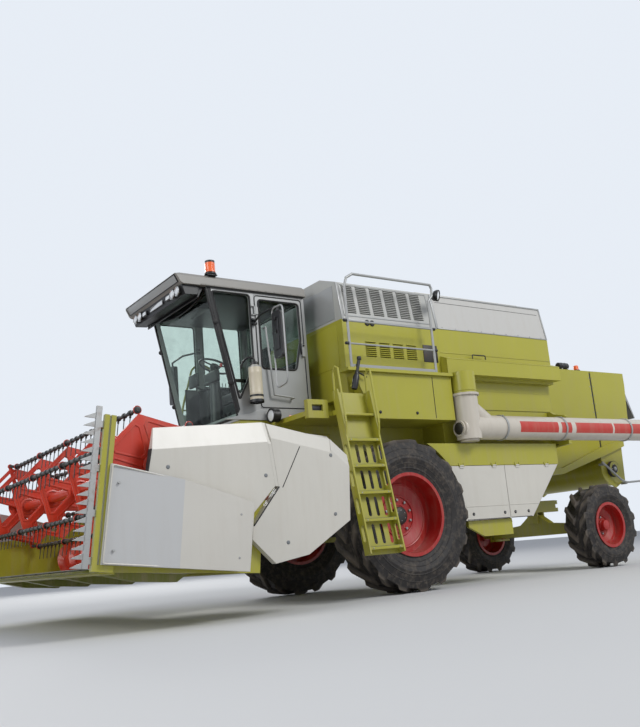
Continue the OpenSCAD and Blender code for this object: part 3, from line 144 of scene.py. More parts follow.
cameraPlan = {
    "focalPixels": 843.757,
    "photoHeight": 727,
    "sensor": 36.0,
    "place": (6.813, 9.435, 0.553),
    "right": (-0.8234, 0.5611, -0.0847),
    "back": (0.5648, 0.7957, -0.2185),
    "farEnd": 200,
}


def makeCamera():
    camera = bpy.data.cameras.new("camera")
    camera.sensor_fit = "VERTICAL"
    camera.sensor_height = cameraPlan["sensor"]
    camera.lens = cameraPlan["focalPixels"] / cameraPlan["photoHeight"] * cameraPlan["sensor"]
    camera.clip_end = cameraPlan["farEnd"]
    right = Vector(cameraPlan["right"]).normalized()
    back = Vector(cameraPlan["back"])
    back = (back - back.dot(right) * right).normalized()
    turn = Matrix((right, back.cross(right), back)).transposed()
    eye = addObject("camera", camera)
    eye.matrix_world = machineFrame @ Matrix.Translation(cameraPlan["place"]) @ turn.to_4x4()
    bpy.context.scene.camera = eye


lighting = {
    "sky": (0.80, 0.86, 1.0, 1),
    "skyStrength": 0.46,
    "backdrop": (0.80, 0.85, 0.92, 1),
    "aim": (0, 0, 1.5),
    "lamps": [  # name, place, size, watts
        ("sunSide", (-5.0, 17.0, 15.0), 8.0, 2500),
        ("frontFill", (17.0, 3.0, 8.0), 9.0, 900),
        ("farSide", (-2.0, -18.0, 12.0), 9.0, 1500)],
}


# The sky gives the light, and the paler backdrop is what camera, mirrors and glass see
def makeLight():
    world = bpy.data.worlds.new("studio")
    world.use_nodes = True
    tree = world.node_tree
    tree.nodes.clear()
    ray = addNode(tree, "ShaderNodeLightPath", {}).outputs
    sky = addNode(tree, "ShaderNodeBackground", {0: lighting["sky"], 1: lighting["skyStrength"]})
    backdrop = addNode(tree, "ShaderNodeBackground", {0: lighting["backdrop"], 1: 1.0})
    seen = calc(tree, "MAXIMUM", ray["Is Camera Ray"], ray["Is Glossy Ray"], ray["Is Transmission Ray"])
    mixed = addNode(tree, "ShaderNodeMixShader", {0: seen, 1: sky.outputs[0], 2: backdrop.outputs[0]})
    addNode(tree, "ShaderNodeOutputWorld", {0: mixed.outputs[0]})
    bpy.context.scene.world = world
    for name, place, size, watts in lighting["lamps"]:
        lamp = bpy.data.lights.new(name, "AREA")
        lamp.energy = watts
        lamp.shape = "DISK"
        lamp.size = size
        holder = addObject(name, lamp)
        holder.location = place
        aim = Vector(lighting["aim"]) - Vector(place)
        holder.rotation_euler = aim.to_track_quat("-Z", "Y").to_euler()


floorPlan = {"halfSize": 70, "height": -0.001, "colour": (0.60, 0.60, 0.59, 1), "roughness": 0.95}


def makeFloor():
    mesh = bpy.data.meshes.new("floor")
    work = bmesh.new()
    bmesh.ops.create_grid(work, x_segments=1, y_segments=1, size=floorPlan["halfSize"])
    work.to_mesh(mesh)
    work.free()
    floor = addObject("floor", mesh)
    floor.location = (0, 0, floorPlan["height"])
    tree, shader = newFinish("floor")[:2]
    feed(tree, shader, {"Base Color": floorPlan["colour"], "Roughness": floorPlan["roughness"]})
    mesh.materials.append(finishes["floor"])


# Finishes

weather = {
    "dust": (0.36, 0.29, 0.20, 1),
    "tyreDust": (0.17, 0.14, 0.11, 1),
    "worn": (0.24, 0.21, 0.18, 1),
    "rust": (0.16, 0.07, 0.03, 1),
    "lint": (0.20, 0.19, 0.18, 1),
}


# 1 inside the limits and 0 outside them; axis 3 runs forward along the tilted header
def within(tree, place, axes, limits):
    inside = 1.0
    for axis, low, high in limits:
        shift = -midX if axis == 0 else 0.0
        if axis == 3:
            forward = headerFrame.col[0].to_3d()
            reach = dotProduct(tree, place, forward)
            shift = forward.dot(headerFrame.translation)
        else:
            reach = axes[axis]
        over = calc(tree, "GREATER_THAN", reach, low + shift)
        under = calc(tree, "LESS_THAN", reach, high + shift)
        inside = times(tree, inside, over, under)
    return inside


# Sprayed sheet metal: tone drift, rain streaks, dust that gathers low and on top, and worn edges
def paint(name, colour, rough=0.38, dust=0.5, wear=0.5, coat=0.25, metal=0.0, bands=(), plate=False):
    tree, shader, place = newFinish(name)
    axes = addNode(tree, "ShaderNodeSeparateXYZ", {0: place}).outputs
    normal = addNode(tree, "ShaderNodeNewGeometry", {}).outputs["Normal"]
    facing = addNode(tree, "ShaderNodeSeparateXYZ", {0: normal}).outputs
    tone = noise(tree, place, 0.9, 6)
    streaks = noise(tree, stretched(tree, place, (5.0, 5.0, 0.55)), 2.4, 8, 0.65)
    grit = noise(tree, place, 95.0, 3)
    shown = blendColour(tree, tone, shade(colour, 0.86), shade(colour, 1.08))
    # Bands of another colour: two-tone paint and printed stripes, and on the divider panels a painted shade
    for limits, tint in bands:
        shown = blendColour(tree, within(tree, place, axes, limits), shown, shade(tint))
    low = remap(tree, axes[2], 0.3, 2.8, 1.0, 0.25)
    film = times(tree, low, remap(tree, streaks, 0.46, 0.70), dust * 0.75)
    top = remap(tree, facing[2], 0.75, 1.0, 0.0, dust * 0.55)
    dusty = calc(tree, "MAXIMUM", film, times(tree, top, remap(tree, tone, 0.3, 0.7)))
    shown = blendColour(tree, dusty, shown, weather["dust"])
    rounded = roundedNormal(tree, 0.006)
    edge = remap(tree, dotProduct(tree, rounded, normal), 0.985, 0.90)
    chips = times(tree, edge, remap(tree, noise(tree, place, 26.0, 5), 0.50, 0.62), wear)
    relief = plus(tree, times(tree, grit, 0.25), times(tree, noise(tree, place, 2.2, 2), 1.4))
    if plate:  # raised bars of the tread sheet
        tilted = addNode(tree, "ShaderNodeMapping", {0: place, 2: (0, 0, math.radians(45))}).outputs[0]
        bars = addNode(tree, "ShaderNodeTexBrick", {"Vector": tilted, "Scale": 14.0, "Mortar Size": 0.012,
                       "Mortar Smooth": 0.4, "Brick Width": 0.55, "Row Height": 0.28})
        relief = plus(tree, relief, times(tree, bars.outputs["Fac"], 2.0))
    feed(tree, shader, {
        "Base Color": blendColour(tree, chips, shown, weather["worn"]),
        "Metallic": metal,
        "Roughness": plus(tree, times(tree, grit, 0.10), rough - 0.05, times(tree, dusty, 0.40)),
        "Coat Weight": coat,
        "Coat Roughness": 0.25,
        "Normal": bump(tree, relief, 0.22, 0.0025, Normal=rounded)})


# Black rubber and plastic; a tyre has rings moulded in its walls and dust on its tread
def rubber(name, colour, rough=0.75, dust=0.5, wheel=None, rings=()):
    tree, shader, place = newFinish(name)
    tone = noise(tree, place, 3.0, 6)
    dusty = times(tree, remap(tree, noise(tree, place, 14.0, 8, 0.7), 0.48, 0.72), dust)
    height = times(tree, noise(tree, place, 160.0, 2), 0.3)
    if wheel:
        shift = (midX - wheel["x"], 0, -wheel["radius"])
        off = addNode(tree, "ShaderNodeMapping", {0: place, 1: shift, 3: (1, 0, 1)}).outputs[0]
        reach = addNode(tree, "ShaderNodeVectorMath", {0: off}, operation="LENGTH").outputs["Value"]
        for radius, width in rings:
            apart = calc(tree, "SUBTRACT", reach, radius)
            apart = addNode(tree, "ShaderNodeMath", {0: apart}, operation="ABSOLUTE").outputs[0]
            height = plus(tree, height, remap(tree, apart, width, 0.0, 0.0, 3.0))
        tread = remap(tree, reach, wheel["radius"] - 0.05, wheel["radius"] - 0.005)
        tread = times(tree, tread, 0.75, remap(tree, tone, 0.25, 0.6))
        dusty = calc(tree, "MAXIMUM", dusty, tread)
    shown = blendColour(tree, tone, shade(colour, 0.7), shade(colour, 1.35))
    feed(tree, shader, {
        "Base Color": blendColour(tree, dusty, shown, weather["tyreDust"]),
        "Roughness": remap(tree, dusty, 0.0, 1.0, rough - 0.12, 0.95),
        "Normal": bump(tree, height, 0.5, 0.004, Normal=roundedNormal(tree, 0.008))})


# Bare and plated metal with brushed scratches and spots of rust
def metal(name, colour, rust, rough=0.0, scratched=0.2):
    tree, shader, place = newFinish(name)
    scratches = noise(tree, stretched(tree, place, (30.0, 2.0, 30.0)), 8.0, 6, 0.7)
    spots = times(tree, remap(tree, noise(tree, place, 11.0, 8, 0.7), 0.52, 0.68), rust)
    tone = blendColour(tree, scratches, shade(colour, 0.7), shade(colour, 1.2))
    feed(tree, shader, {
        "Base Color": blendColour(tree, spots, tone, weather["rust"]),
        "Metallic": remap(tree, spots, 0.0, 1.0, 0.9, 0.1),
        "Roughness": plus(tree, times(tree, scratches, scratched), times(tree, spots, 0.4), rough),
        "Normal": bump(tree, scratches, 0.25, 0.001, Normal=roundedNormal(tree, 0.003))})


# Glass that light passes straight through, with faint smears; only the near face of a pane reflects
def glass(name, colour, gloss=0.06):
    tree, shader, place = newFinish(name)
    tree.nodes.remove(shader)
    smears = remap(tree, noise(tree, place, 3.5, 7, 0.65), 0.45, 0.75)
    tint = blendColour(tree, smears, (*colour, 1), (*(c * 0.93 for c in colour), 1))
    clear = addNode(tree, "ShaderNodeBsdfTransparent", {0: tint})
    shine = addNode(tree, "ShaderNodeBsdfGlossy", {0: (0.9, 0.95, 0.93, 1),
                    "Roughness": remap(tree, smears, 0.0, 1.0, 0.02, 0.10)})
    edge = addNode(tree, "ShaderNodeFresnel", {0: 1.45}).outputs[0]
    backfacing = addNode(tree, "ShaderNodeNewGeometry", {}).outputs["Backfacing"]
    edge = times(tree, edge, calc(tree, "LESS_THAN", backfacing, 0.5), 0.55)
    weight = plus(tree, edge, times(tree, smears, gloss))
    mixed = addNode(tree, "ShaderNodeMixShader", {0: weight, 1: clear.outputs[0], 2: shine.outputs[0]})
    feed(tree, tree.nodes["Material Output"], {0: mixed.outputs[0]})


# Moulded lens: coloured clear plastic with fine ribs, and a faint painted glow from its emission
def lens(name, colour, strength):
    tree, shader, place = newFinish(name)
    cloud = noise(tree, place, 20.0, 3)
    feed(tree, shader, {
        "Base Color": blendColour(tree, cloud, shade(colour, 0.75), shade(colour)),
        "Emission Color": shade(colour),
        "Emission Strength": strength,
        "Coat Weight": 0.8,
        "Roughness": remap(tree, cloud, 0.0, 1.0, 0.08, 0.22),
        "Normal": bump(tree, waves(tree, place, 45.0, 0.2, "Z"), 0.35, 0.002)})


# Woven seat cloth
def cloth(name, colour):
    tree, shader, place = newFinish(name)
    crossing = times(tree, waves(tree, place, 190.0, 1.2, "Y"), waves(tree, place, 190.0, 1.2, "X"))
    tone = noise(tree, place, 9.0, 5)
    threads = blendColour(tree, crossing, shade(colour, 0.55), shade(colour, 1.5))
    feed(tree, shader, {
        "Base Color": blendColour(tree, times(tree, tone, 0.25), threads, weather["lint"]),
        "Roughness": remap(tree, tone, 0.0, 1.0, 0.8, 0.95),
        "Sheen Weight": 0.3,
        "Normal": bump(tree, crossing, 0.4, 0.001)})


lime = (168, 163, 46)
tyreBlack = (25, 21, 19)
shoulder = 3.39  # height of the line where the housing's and the tank's sides start to lean
stripes = {"height": (2, 1.925, 2.075), "red": (186, 48, 34), "pale": (204, 196, 184),
           "length": (0, -5.72, -1.98), "gaps": [(-2.83, -2.76), (-3.14, -3.05), (-4.02, -3.98)]}
ringPlan = {"front": ((0.56, 0.012), (0.62, 0.006), (0.72, 0.010), (0.80, 0.006)),
            "rear": ((0.36, 0.010), (0.41, 0.006), (0.47, 0.008))}


def makeFinishes():
    aboveShoulder = [(2, shoulder, 10.0)]
    paint("limePaint", lime)
    paint("limeDeck", lime, plate=True, dust=0.9)
    paint("housingPaint", lime, bands=[(aboveShoulder, (176, 176, 170))])
    paint("tankPaint", lime, bands=[(aboveShoulder, (190, 188, 182))])
    paint("whitePaint", (206, 202, 191), dust=0.14, wear=0.35)
    # The divider panels are painted greyer ahead of their fold: painted shade of the fold
    paint("panelPaint", (204, 200, 190), dust=0.12, wear=0.3, bands=[([(3, 0.72, 2.0)], (190, 190, 188))])
    paint("silverPaint", (158, 159, 157), dust=0.25, metal=0.25)
    paint("darkSilver", (118, 122, 124), dust=0.3, metal=0.3)
    paint("redPaint", (205, 52, 24), dust=0.35)
    paint("rimPaint", (166, 24, 18), dust=0.35, wear=0.2)
    paint("roofPaint", (132, 129, 122), dust=0.3, wear=0.3, rough=0.5, coat=0.1)
    paint("oldLime", (120, 124, 48), dust=0.8, wear=1.0, rough=0.5)
    paint("rustyRed", (120, 52, 34), dust=1.0, wear=1.0, coat=0.0, rough=0.7)
    bars = [([stripes["height"], stripes["length"]], stripes["red"])]
    bars += [([stripes["height"], (0, x0, x1)], stripes["pale"]) for x0, x1 in stripes["gaps"]]
    paint("tubePaint", (198, 190, 176), dust=0.55, bands=bars)
    paint("blackPaint", (26, 27, 28), dust=0.35, wear=0.4, rough=0.5)
    paint("creamPaint", (206, 196, 172), dust=0.5, wear=0.3)
    rubber("blackRubber", (18, 18, 19), dust=0.12)
    rubber("blackPlastic", (20, 20, 22), rough=0.5, dust=0.08)
    rubber("frontTyre", tyreBlack, dust=0.6, wheel=frontWheel, rings=ringPlan["front"])
    rubber("rearTyre", tyreBlack, dust=0.6, wheel=rearWheel, rings=ringPlan["rear"])
    metal("bareSteel", (168, 168, 166), 0.35, rough=0.34)
    metal("darkMetal", (74, 72, 70), 0.6, rough=0.45)
    metal("chrome", (214, 214, 214), 0.05, scratched=0.25)
    metal("mirrorGlass", (206, 214, 220), 0.0, scratched=0.25)
    glass("cabGlass", (0.88, 0.93, 0.90), 0.03)
    glass("clearGlass", (0.92, 0.95, 0.95))
    # The lens finishes glow faintly, a painted glow; the red and amber ones also go on knobs, switches and a
    # reflector
    lens("amberLens", (232, 96, 16), 0.25)
    lens("redLens", (190, 20, 16), 0.1)
    lens("whiteLens", (226, 230, 232), 0.1)
    cloth("seatCloth", (42, 44, 50))


nodeFinish = {
    "limePaint": ["chassis_frame", "front_axle", "rear_axle", "knuckle_left", "knuckle_right", "tie_rod",
                  "threshing_body", "side_bands", "straw_hood", "chopper", "ladder", "auger_turret",
                  "feeder_house", "header_table"],
    "oldLime": ["cutter_bar"],
    "panelPaint": ["divider_panels"],
    "limeDeck": ["platform"],
    "housingPaint": ["engine_bay"],
    "tankPaint": ["grain_tank"],
    "whitePaint": ["side_door_front_left", "side_door_rear_left", "side_door_front_right",
                   "side_door_rear_right", "drive_covers", "tank_lid_left", "tank_lid_right"],
    "silverPaint": ["cab_shell", "cab_door", "hood_flap", "railings"],
    "roofPaint": ["cab_roof"],
    "rimPaint": ["front_rim_left", "front_rim_right", "rear_rim_left", "rear_rim_right"],
    "redPaint": ["table_auger", "reel_arms", "reel", "control_ring"],
    "tubePaint": ["unloading_tube"],
    "blackPaint": ["lift_barrels", "engine_block"] + ["tine_bar_%d" % i for i in range(1, 7)],
    "blackPlastic": ["cab_interior", "lamps", "mirrors", "driver_seat"],
    "frontTyre": ["front_tyre_left", "front_tyre_right"],
    "rearTyre": ["rear_tyre_left", "rear_tyre_right"],
    "bareSteel": ["side_knives"],
    "chrome": ["lift_rods"],
    "cabGlass": ["cab_glass", "door_glass"],
}


def paintNodes():
    for name, nodes in nodeFinish.items():
        for node in nodes:
            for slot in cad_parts[node].material_slots:
                slot.material = finishes[name]


# Shapes: each is a bmesh of its own, which goes into a piece with put()

sharpAngle = 0.6  # edges that turn more than this stay crisp


# A frame at a place, whose Z runs in the direction given
def aimed(at, along):
    return Matrix.Translation(at) @ Vector(up).rotation_difference(Vector(along)).to_matrix().to_4x4()


def block(low, high, edge=0.004, segments=2):
    work = bmesh.new()
    size = Vector(high) - Vector(low)
    middle = (Vector(high) + Vector(low)) / 2
    bmesh.ops.create_cube(work, size=1, matrix=Matrix.Translation(middle) @ Matrix.Diagonal((*size, 1)))
    bmesh.ops.bevel(work, geom=work.edges[:], offset=min(edge, min(size) * 0.3), affect="EDGES",
                    segments=segments, profile=0.5, material=-1)
    return work


# Turns a profile of (radius, distance along the axis) round the axis
def turned(profile, at, along=up, steps=24):
    work = bmesh.new()
    points = [work.verts.new((r, 0, a)) for r, a in profile]
    for a, b in zip(points, points[1:]):
        work.edges.new((a, b))
    bmesh.ops.spin(work, geom=work.verts[:] + work.edges[:], cent=(0, 0, 0), axis=up, angle=math.tau,
                   steps=steps, use_merge=True)
    bmesh.ops.remove_doubles(work, verts=work.verts[:], dist=1e-6)
    bmesh.ops.recalc_face_normals(work, faces=work.faces[:])
    bmesh.ops.transform(work, matrix=aimed(at, along), verts=work.verts[:])
    return work


# Thickens a flat outline by a vector
def extruded(outline, way):
    work = bmesh.new()
    face = work.faces.new([work.verts.new(point) for point in outline])
    made = bmesh.ops.extrude_face_region(work, geom=[face])["geom"]
    bmesh.ops.translate(work, vec=way, verts=[g for g in made if isinstance(g, bmesh.types.BMVert)])
    bmesh.ops.recalc_face_normals(work, faces=work.faces[:])
    return work


# A sheet drawn as (x, z) in side view, from y0 to y1
def sideSheet(outline, y0, y1, edge=0.003):
    work = extruded([(x, y0, z) for x, z in outline], (0, y1 - y0, 0))
    bmesh.ops.bevel(work, geom=work.edges[:], offset=edge, affect="EDGES", segments=1, profile=0.5,
                    material=-1)
    return work


# Rounds the corners of a path
def eased(points, radius, closed, steps=4):
    points = [Vector(p) for p in points]
    count = len(points)
    path = []
    for i, corner in enumerate(points):
        if not closed and i in (0, count - 1):
            path.append(corner)
            continue
        before, after = points[i - 1] - corner, points[(i + 1) % count] - corner
        reach = min(radius, before.length * 0.45, after.length * 0.45)
        start, end = corner + before.normalized() * reach, corner + after.normalized() * reach
        for t in (k / steps for k in range(steps + 1)):
            path.append(start.lerp(corner, t).lerp(corner.lerp(end, t), t))
    return path


# A round bar or hose along a path, whose corners may be eased
def pipe(points, radius, sides=8, corner=None, closed=False):
    points = eased(points, corner, closed) if corner else [Vector(p) for p in points]
    count = len(points)
    work = bmesh.new()
    ring = bmesh.ops.create_circle(work, segments=sides, radius=radius, cap_ends=False)["verts"]
    edges = work.edges[:]
    section = [v.co.copy() for v in ring]
    heading = (points[1] - points[0]).normalized()
    spin = Vector(up).rotation_difference(heading)
    for i, point in enumerate(points):
        onward = points[(i + 1) % count] - point if closed or i < count - 1 else point - points[i - 1]
        behind = point - points[i - 1] if closed or i > 0 else onward
        direction = (onward.normalized() + behind.normalized()).normalized()
        spin = heading.rotation_difference(direction) @ spin
        heading = direction
        if i:
            made = bmesh.ops.extrude_edge_only(work, edges=edges)["geom"]
            verts = {g for g in made if isinstance(g, bmesh.types.BMVert)}
            edges = [g for g in made if isinstance(g, bmesh.types.BMEdge) and verts.issuperset(g.verts)]
            ring = [next(e.other_vert(v) for e in v.link_edges if e.other_vert(v) in verts) for v in ring]
        for vert, local in zip(ring, section):
            vert.co = point + spin @ local
    ends = [e for e in work.edges if e.is_boundary]
    if closed:
        bmesh.ops.bridge_loops(work, edges=ends)
    else:
        bmesh.ops.holes_fill(work, edges=ends, sides=0)
    bmesh.ops.recalc_face_normals(work, faces=work.faces[:])
    return work


def bolt(at, direction, size=0.008, height=0.005):
    work = bmesh.new()
    bmesh.ops.create_cone(work, cap_ends=True, segments=6, radius1=size, radius2=size, depth=height,
                          matrix=Matrix.Translation((0, 0, height / 2)))
    top = [e for e in work.edges if min(v.co.z for v in e.verts) > height * 0.9]
    bmesh.ops.bevel(work, geom=top, offset=size * 0.18, affect="EDGES", segments=1, profile=0.5, material=-1)
    bmesh.ops.transform(work, matrix=aimed(at, direction), verts=work.verts[:])
    return work


# Moves shapes into a piece with their material number; both=True repeats them on the other side
def put(piece, material, *shapes, where=None, both=False):
    for shape in shapes:
        for face in shape.faces:
            face.material_index = material
            face.smooth = True
        for edge in shape.edges:
            edge.smooth = not (len(edge.link_faces) == 2 and edge.calc_face_angle(0) > sharpAngle)
        if where is not None:
            bmesh.ops.transform(shape, matrix=where, verts=shape.verts[:])
        carried = bpy.data.meshes.new("carried")
        shape.to_mesh(carried)
        piece.from_mesh(carried)
        if both:
            bmesh.ops.transform(shape, matrix=Matrix.Diagonal((1, -1, 1, 1)), verts=shape.verts[:])
            bmesh.ops.reverse_faces(shape, faces=shape.faces[:])
            shape.to_mesh(carried)
            piece.from_mesh(carried)
        bpy.data.meshes.remove(carried)
        shape.free()


# A circle of bolts in the plane across X, Y or Z
def boltRing(piece, material, centre, radius, count, direction, size, height, phase=0.0, both=False):
    for i in range(count):
        a = (i + phase) * math.tau / count
        offset = [radius * math.cos(a), radius * math.sin(a)]
        offset.insert([abs(d) for d in direction].index(1), 0.0)
        put(piece, material, bolt(Vector(centre) + Vector(offset), direction, size, height), both=both)


def finishPiece(piece, name, body, materials, where=machineFrame):
    mesh = bpy.data.meshes.new(name)
    piece.to_mesh(mesh)
    piece.free()
    mesh.transform(where)
    for material in materials:
        mesh.materials.append(finishes[material])
    made = addObject(name, mesh)
    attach(made, body)


# Cab

cabPlan = {
    "doorWindow": [(0.945, 3.21), (1.04, 2.82), (1.54, 2.82), (1.54, 3.70), (0.945, 3.70)],
    "sideWindow": [(1.66, 2.84), (1.886, 2.415), (2.184, 3.75), (1.66, 3.75)],
    "rightWindow": [(0.95, 2.88), (1.54, 2.88), (1.54, 3.78), (0.95, 3.78)],
    "windscreen": [(1.914, -0.765, 2.215), (1.914, 0.765, 2.215), (2.254, 0.765, 3.79),
                   (2.254, -0.765, 3.79)],
    "rearWindow": [(0.845, -0.66, 3.0), (0.845, 0.66, 3.0), (0.845, 0.66, 3.74), (0.845, -0.66, 3.74)],
    "doorEdge": [(0.90, 0.781, 2.33), (1.59, 0.781, 2.33), (1.59, 0.781, 3.75), (0.90, 0.781, 3.75)],
    "pillar": [(1.892, 2.30), (1.918, 2.25), (2.244, 3.795), (2.198, 3.795)],
    "seal": 0.013,
    "clips": ((2.00325, 2.62), (2.1605, 3.36)),
    "clip": [(0, -0.03), (0.022, -0.028), (0.030, -0.01), (0.030, 0.012), (0.012, 0.02), (0, 0.02)],
    "button": [(0, 0.03), (0.011, 0.029), (0.013, 0.02), (0.013, 0)],
}


def sealRound(outline, y):
    return pipe([(x, y, z) for x, z in outline], cabPlan["seal"], 8, 0.045, closed=True)


def makeCabSeals():
    piece = bmesh.new()
    put(piece, 0, sealRound(cabPlan["sideWindow"], 0.781), both=True)
    put(piece, 0, sealRound(cabPlan["rightWindow"], -0.781),
        pipe(cabPlan["windscreen"], 0.017, 8, 0.05, closed=True),
        pipe(cabPlan["rearWindow"], cabPlan["seal"], 8, 0.05, closed=True))
    # Clips that hold the windscreen, the gutter under the roof and the cover of the front pillars
    for x, z in cabPlan["clips"]:
        put(piece, 0, turned(cabPlan["clip"], (x, 0.79, z), left, 14),
            block((x - 0.05, 0.775, z - 0.014), (x + 0.01, 0.792, z + 0.014)), both=True)
    put(piece, 0, block((0.86, 0.786, 3.782), (2.26, 0.802, 3.798)),
        sideSheet(cabPlan["pillar"], 0.778, 0.787, 0.002), both=True)
    finishPiece(piece, "cab_seals", "chassis", ["blackRubber"])
    piece = bmesh.new()
    # Latch housing with its push button
    put(piece, 0, sealRound(cabPlan["doorWindow"], 0.782),
        pipe(cabPlan["doorEdge"], 0.006, 6, 0.04, closed=True),
        block((0.905, 0.778, 3.03), (0.958, 0.804, 3.17), 0.008, 3),
        turned(cabPlan["button"], (0.93, 0.80, 3.14), left, 12))
    finishPiece(piece, "door_seal", "cab_door", ["blackRubber"])


roofPlan = {
    "field": (2.6235, 0, 3.872),
    "fieldLean": math.atan2(0.06, 0.105),
    "fieldFrame": [((-0.004, -0.745, 0.044), (0.009, 0.745, 0.054)),
                   ((-0.004, -0.745, -0.054), (0.009, 0.745, -0.044)),
                   ((-0.004, 0.735, -0.054), (0.009, 0.748, 0.054)),
                   ((-0.004, -0.748, -0.054), (0.009, -0.735, 0.054))],
    "seams": (1.05, 1.55, 2.05, 2.45),
    "rivets": (12, 0.95, 0.12),
    "lamps": (0.64, 0.50),
    "lampHeight": 3.745,
    "bezel": [(0.062, 0), (0.064, 0.012), (0.052, 0.018), (0.046, 0.004), (0.046, -0.004), (0.062, -0.004)],
    "lens": [(0, 0.012), (0.02, 0.011), (0.036, 0.008), (0.046, 0.0)],
    "visor": [(2.27, 3.795), (2.33, 3.795), (2.36, 3.66), (2.345, 3.655)],
}


def makeCabRoofTrim():
    piece = bmesh.new()
    # Front field with its dark frame, on the sloping front face of the roof
    face = Matrix.Translation(roofPlan["field"]) @ Matrix.Rotation(roofPlan["fieldLean"], 4, "Y")
    put(piece, 1, block((-0.004, -0.74, -0.050), (0.004, 0.74, 0.050), 0.003), where=face)
    put(piece, 0, *(block(low, high, 0.002) for low, high in roofPlan["fieldFrame"]), where=face)
    # Rolled seams across the roof, with rivets along the gutter
    put(piece, 2, *(block((x - 0.012, -0.72, 3.947), (x + 0.012, 0.72, 3.956)) for x in roofPlan["seams"]))
    count, first, pitch = roofPlan["rivets"]
    put(piece, 2, *(bolt((first + i * pitch, 0.816, 3.808), up, 0.007) for i in range(count)), both=True)
    # Lamp bezels and square lamps in the front housing
    put(piece, 3, *(turned(roofPlan["bezel"], (2.566, y, roofPlan["lampHeight"]), ahead, 28)
                    for y in roofPlan["lamps"]), both=True)
    put(piece, 0, block((2.515, 0.30, 3.715), (2.566, 0.42, 3.775), 0.006, 3), both=True)
    put(piece, 3, block((2.548, -0.185, 3.718), (2.562, 0.185, 3.772)))
    put(piece, 0, sideSheet(roofPlan["visor"], -0.745, 0.745))
    finishPiece(piece, "roof_trim", "chassis",
                ["blackPlastic", "silverPaint", "roofPaint", "chrome"])


lampPlan = {
    "headlamp": (0.895, 2.21),
    "headlampLens": [(0, 0.022), (0.03, 0.020), (0.055, 0.012), (0.070, 0)],
    "headlampRim": [(0.084, -0.02), (0.086, 0.0), (0.086, 0.012), (0.078, 0.018), (0.070, 0.006)],
    "headlampBack": [(0.03, -0.012), (0.074, -0.010), (0.082, 0.0)],
    "beacon": (2.15, 0.72),
    "beaconTop": [(0.0, 0.1495), (0.030, 0.148), (0.050, 0.140), (0.059, 0.125)],
    "beaconRibs": (8, 0.013),
    "beaconFoot": [(0.064, 0.010), (0.066, 0.004), (0.066, 0.0)],
    "beaconSocket": [(0.075, 0), (0.075, 0.012), (0.066, 0.016), (0.062, 0.03), (0, 0.03)],
}


def makeLenses():
    headlamp, beacon = lampPlan["headlamp"], lampPlan["beacon"]
    piece = bmesh.new()
    put(piece, 0, *(turned(roofPlan["lens"], (2.5705, y, roofPlan["lampHeight"]), ahead, 28)
                    for y in roofPlan["lamps"]), block((2.560, 0.31, 3.723), (2.572, 0.41, 3.767)), both=True)
    put(piece, 0, turned(lampPlan["headlampLens"], (1.539, *headlamp), ahead, 32))
    profile = list(lampPlan["beaconTop"])
    count, pitch = lampPlan["beaconRibs"]
    for i in range(count):
        profile += [(0.0625, 0.118 - i * pitch), (0.0608, 0.112 - i * pitch)]
    put(piece, 1, turned(profile + lampPlan["beaconFoot"], (*beacon, 4.0005), steps=32))
    finishPiece(piece, "lenses", "chassis", ["whiteLens", "amberLens"])
    piece = bmesh.new()
    put(piece, 0, turned(lampPlan["headlampRim"], (1.532, *headlamp), ahead, 32),
        turned(lampPlan["headlampBack"], (1.444, *headlamp), ahead, 32),
        turned(lampPlan["beaconSocket"], (*beacon, 3.972), steps=28),
        block((2.09, 0.66, 3.948), (2.21, 0.79, 3.962), 0.005))
    finishPiece(piece, "lamp_rims", "chassis", ["blackPlastic"])


mirrorPlan = {
    "y": 1.45,
    "rim": [(-0.084, 2.797), (0.084, 2.797), (0.084, 3.333), (-0.084, 3.333)],
    "knuckle": [(0.0, -0.02), (0.024, -0.018), (0.024, 0.018), (0, 0.02)],
    "loop": [(1.700, 1.345, 3.402), (1.700, 1.580, 3.395), (1.706, 1.590, 2.470), (1.706, 1.350, 2.440)],
}


def makeMirrors():
    piece = bmesh.new()
    y = mirrorPlan["y"]
    put(piece, 1, block((1.655, y - 0.078, 2.805), (1.664, y + 0.078, 3.325), 0.003), both=True)
    rim = [(1.660, y + across, z) for across, z in mirrorPlan["rim"]]
    put(piece, 0, pipe(rim, 0.007, 8, 0.03, closed=True),
        block((1.718, y - 0.05, 2.88), (1.728, y + 0.05, 3.25), 0.008, 3),
        *(turned(mirrorPlan["knuckle"], (1.728, y, z), ahead, 16) for z in (3.25, 3.10)), both=True)
    # Feet of the brackets on the cab's pillars
    put(piece, 0, *(block((1.60, foot - 0.012, z - 0.016), (1.66, foot + 0.05, z + 0.016))
                    for foot in (0.785, -0.785) for z in (3.375, 3.425)))
    finishPiece(piece, "mirror_glass", "chassis", ["blackPlastic", "mirrorGlass"])
    piece = bmesh.new()
    # Tube that runs round the left mirror and hangs down below it
    put(piece, 0, pipe(mirrorPlan["loop"], 0.0105, 10, 0.07, closed=True))
    put(piece, 1, *(block((1.698, 1.340, z - 0.018), (1.716, 1.400, z + 0.018)) for z in (3.10, 2.92)))
    finishPiece(piece, "mirror_frame", "chassis", ["silverPaint", "blackPlastic"])


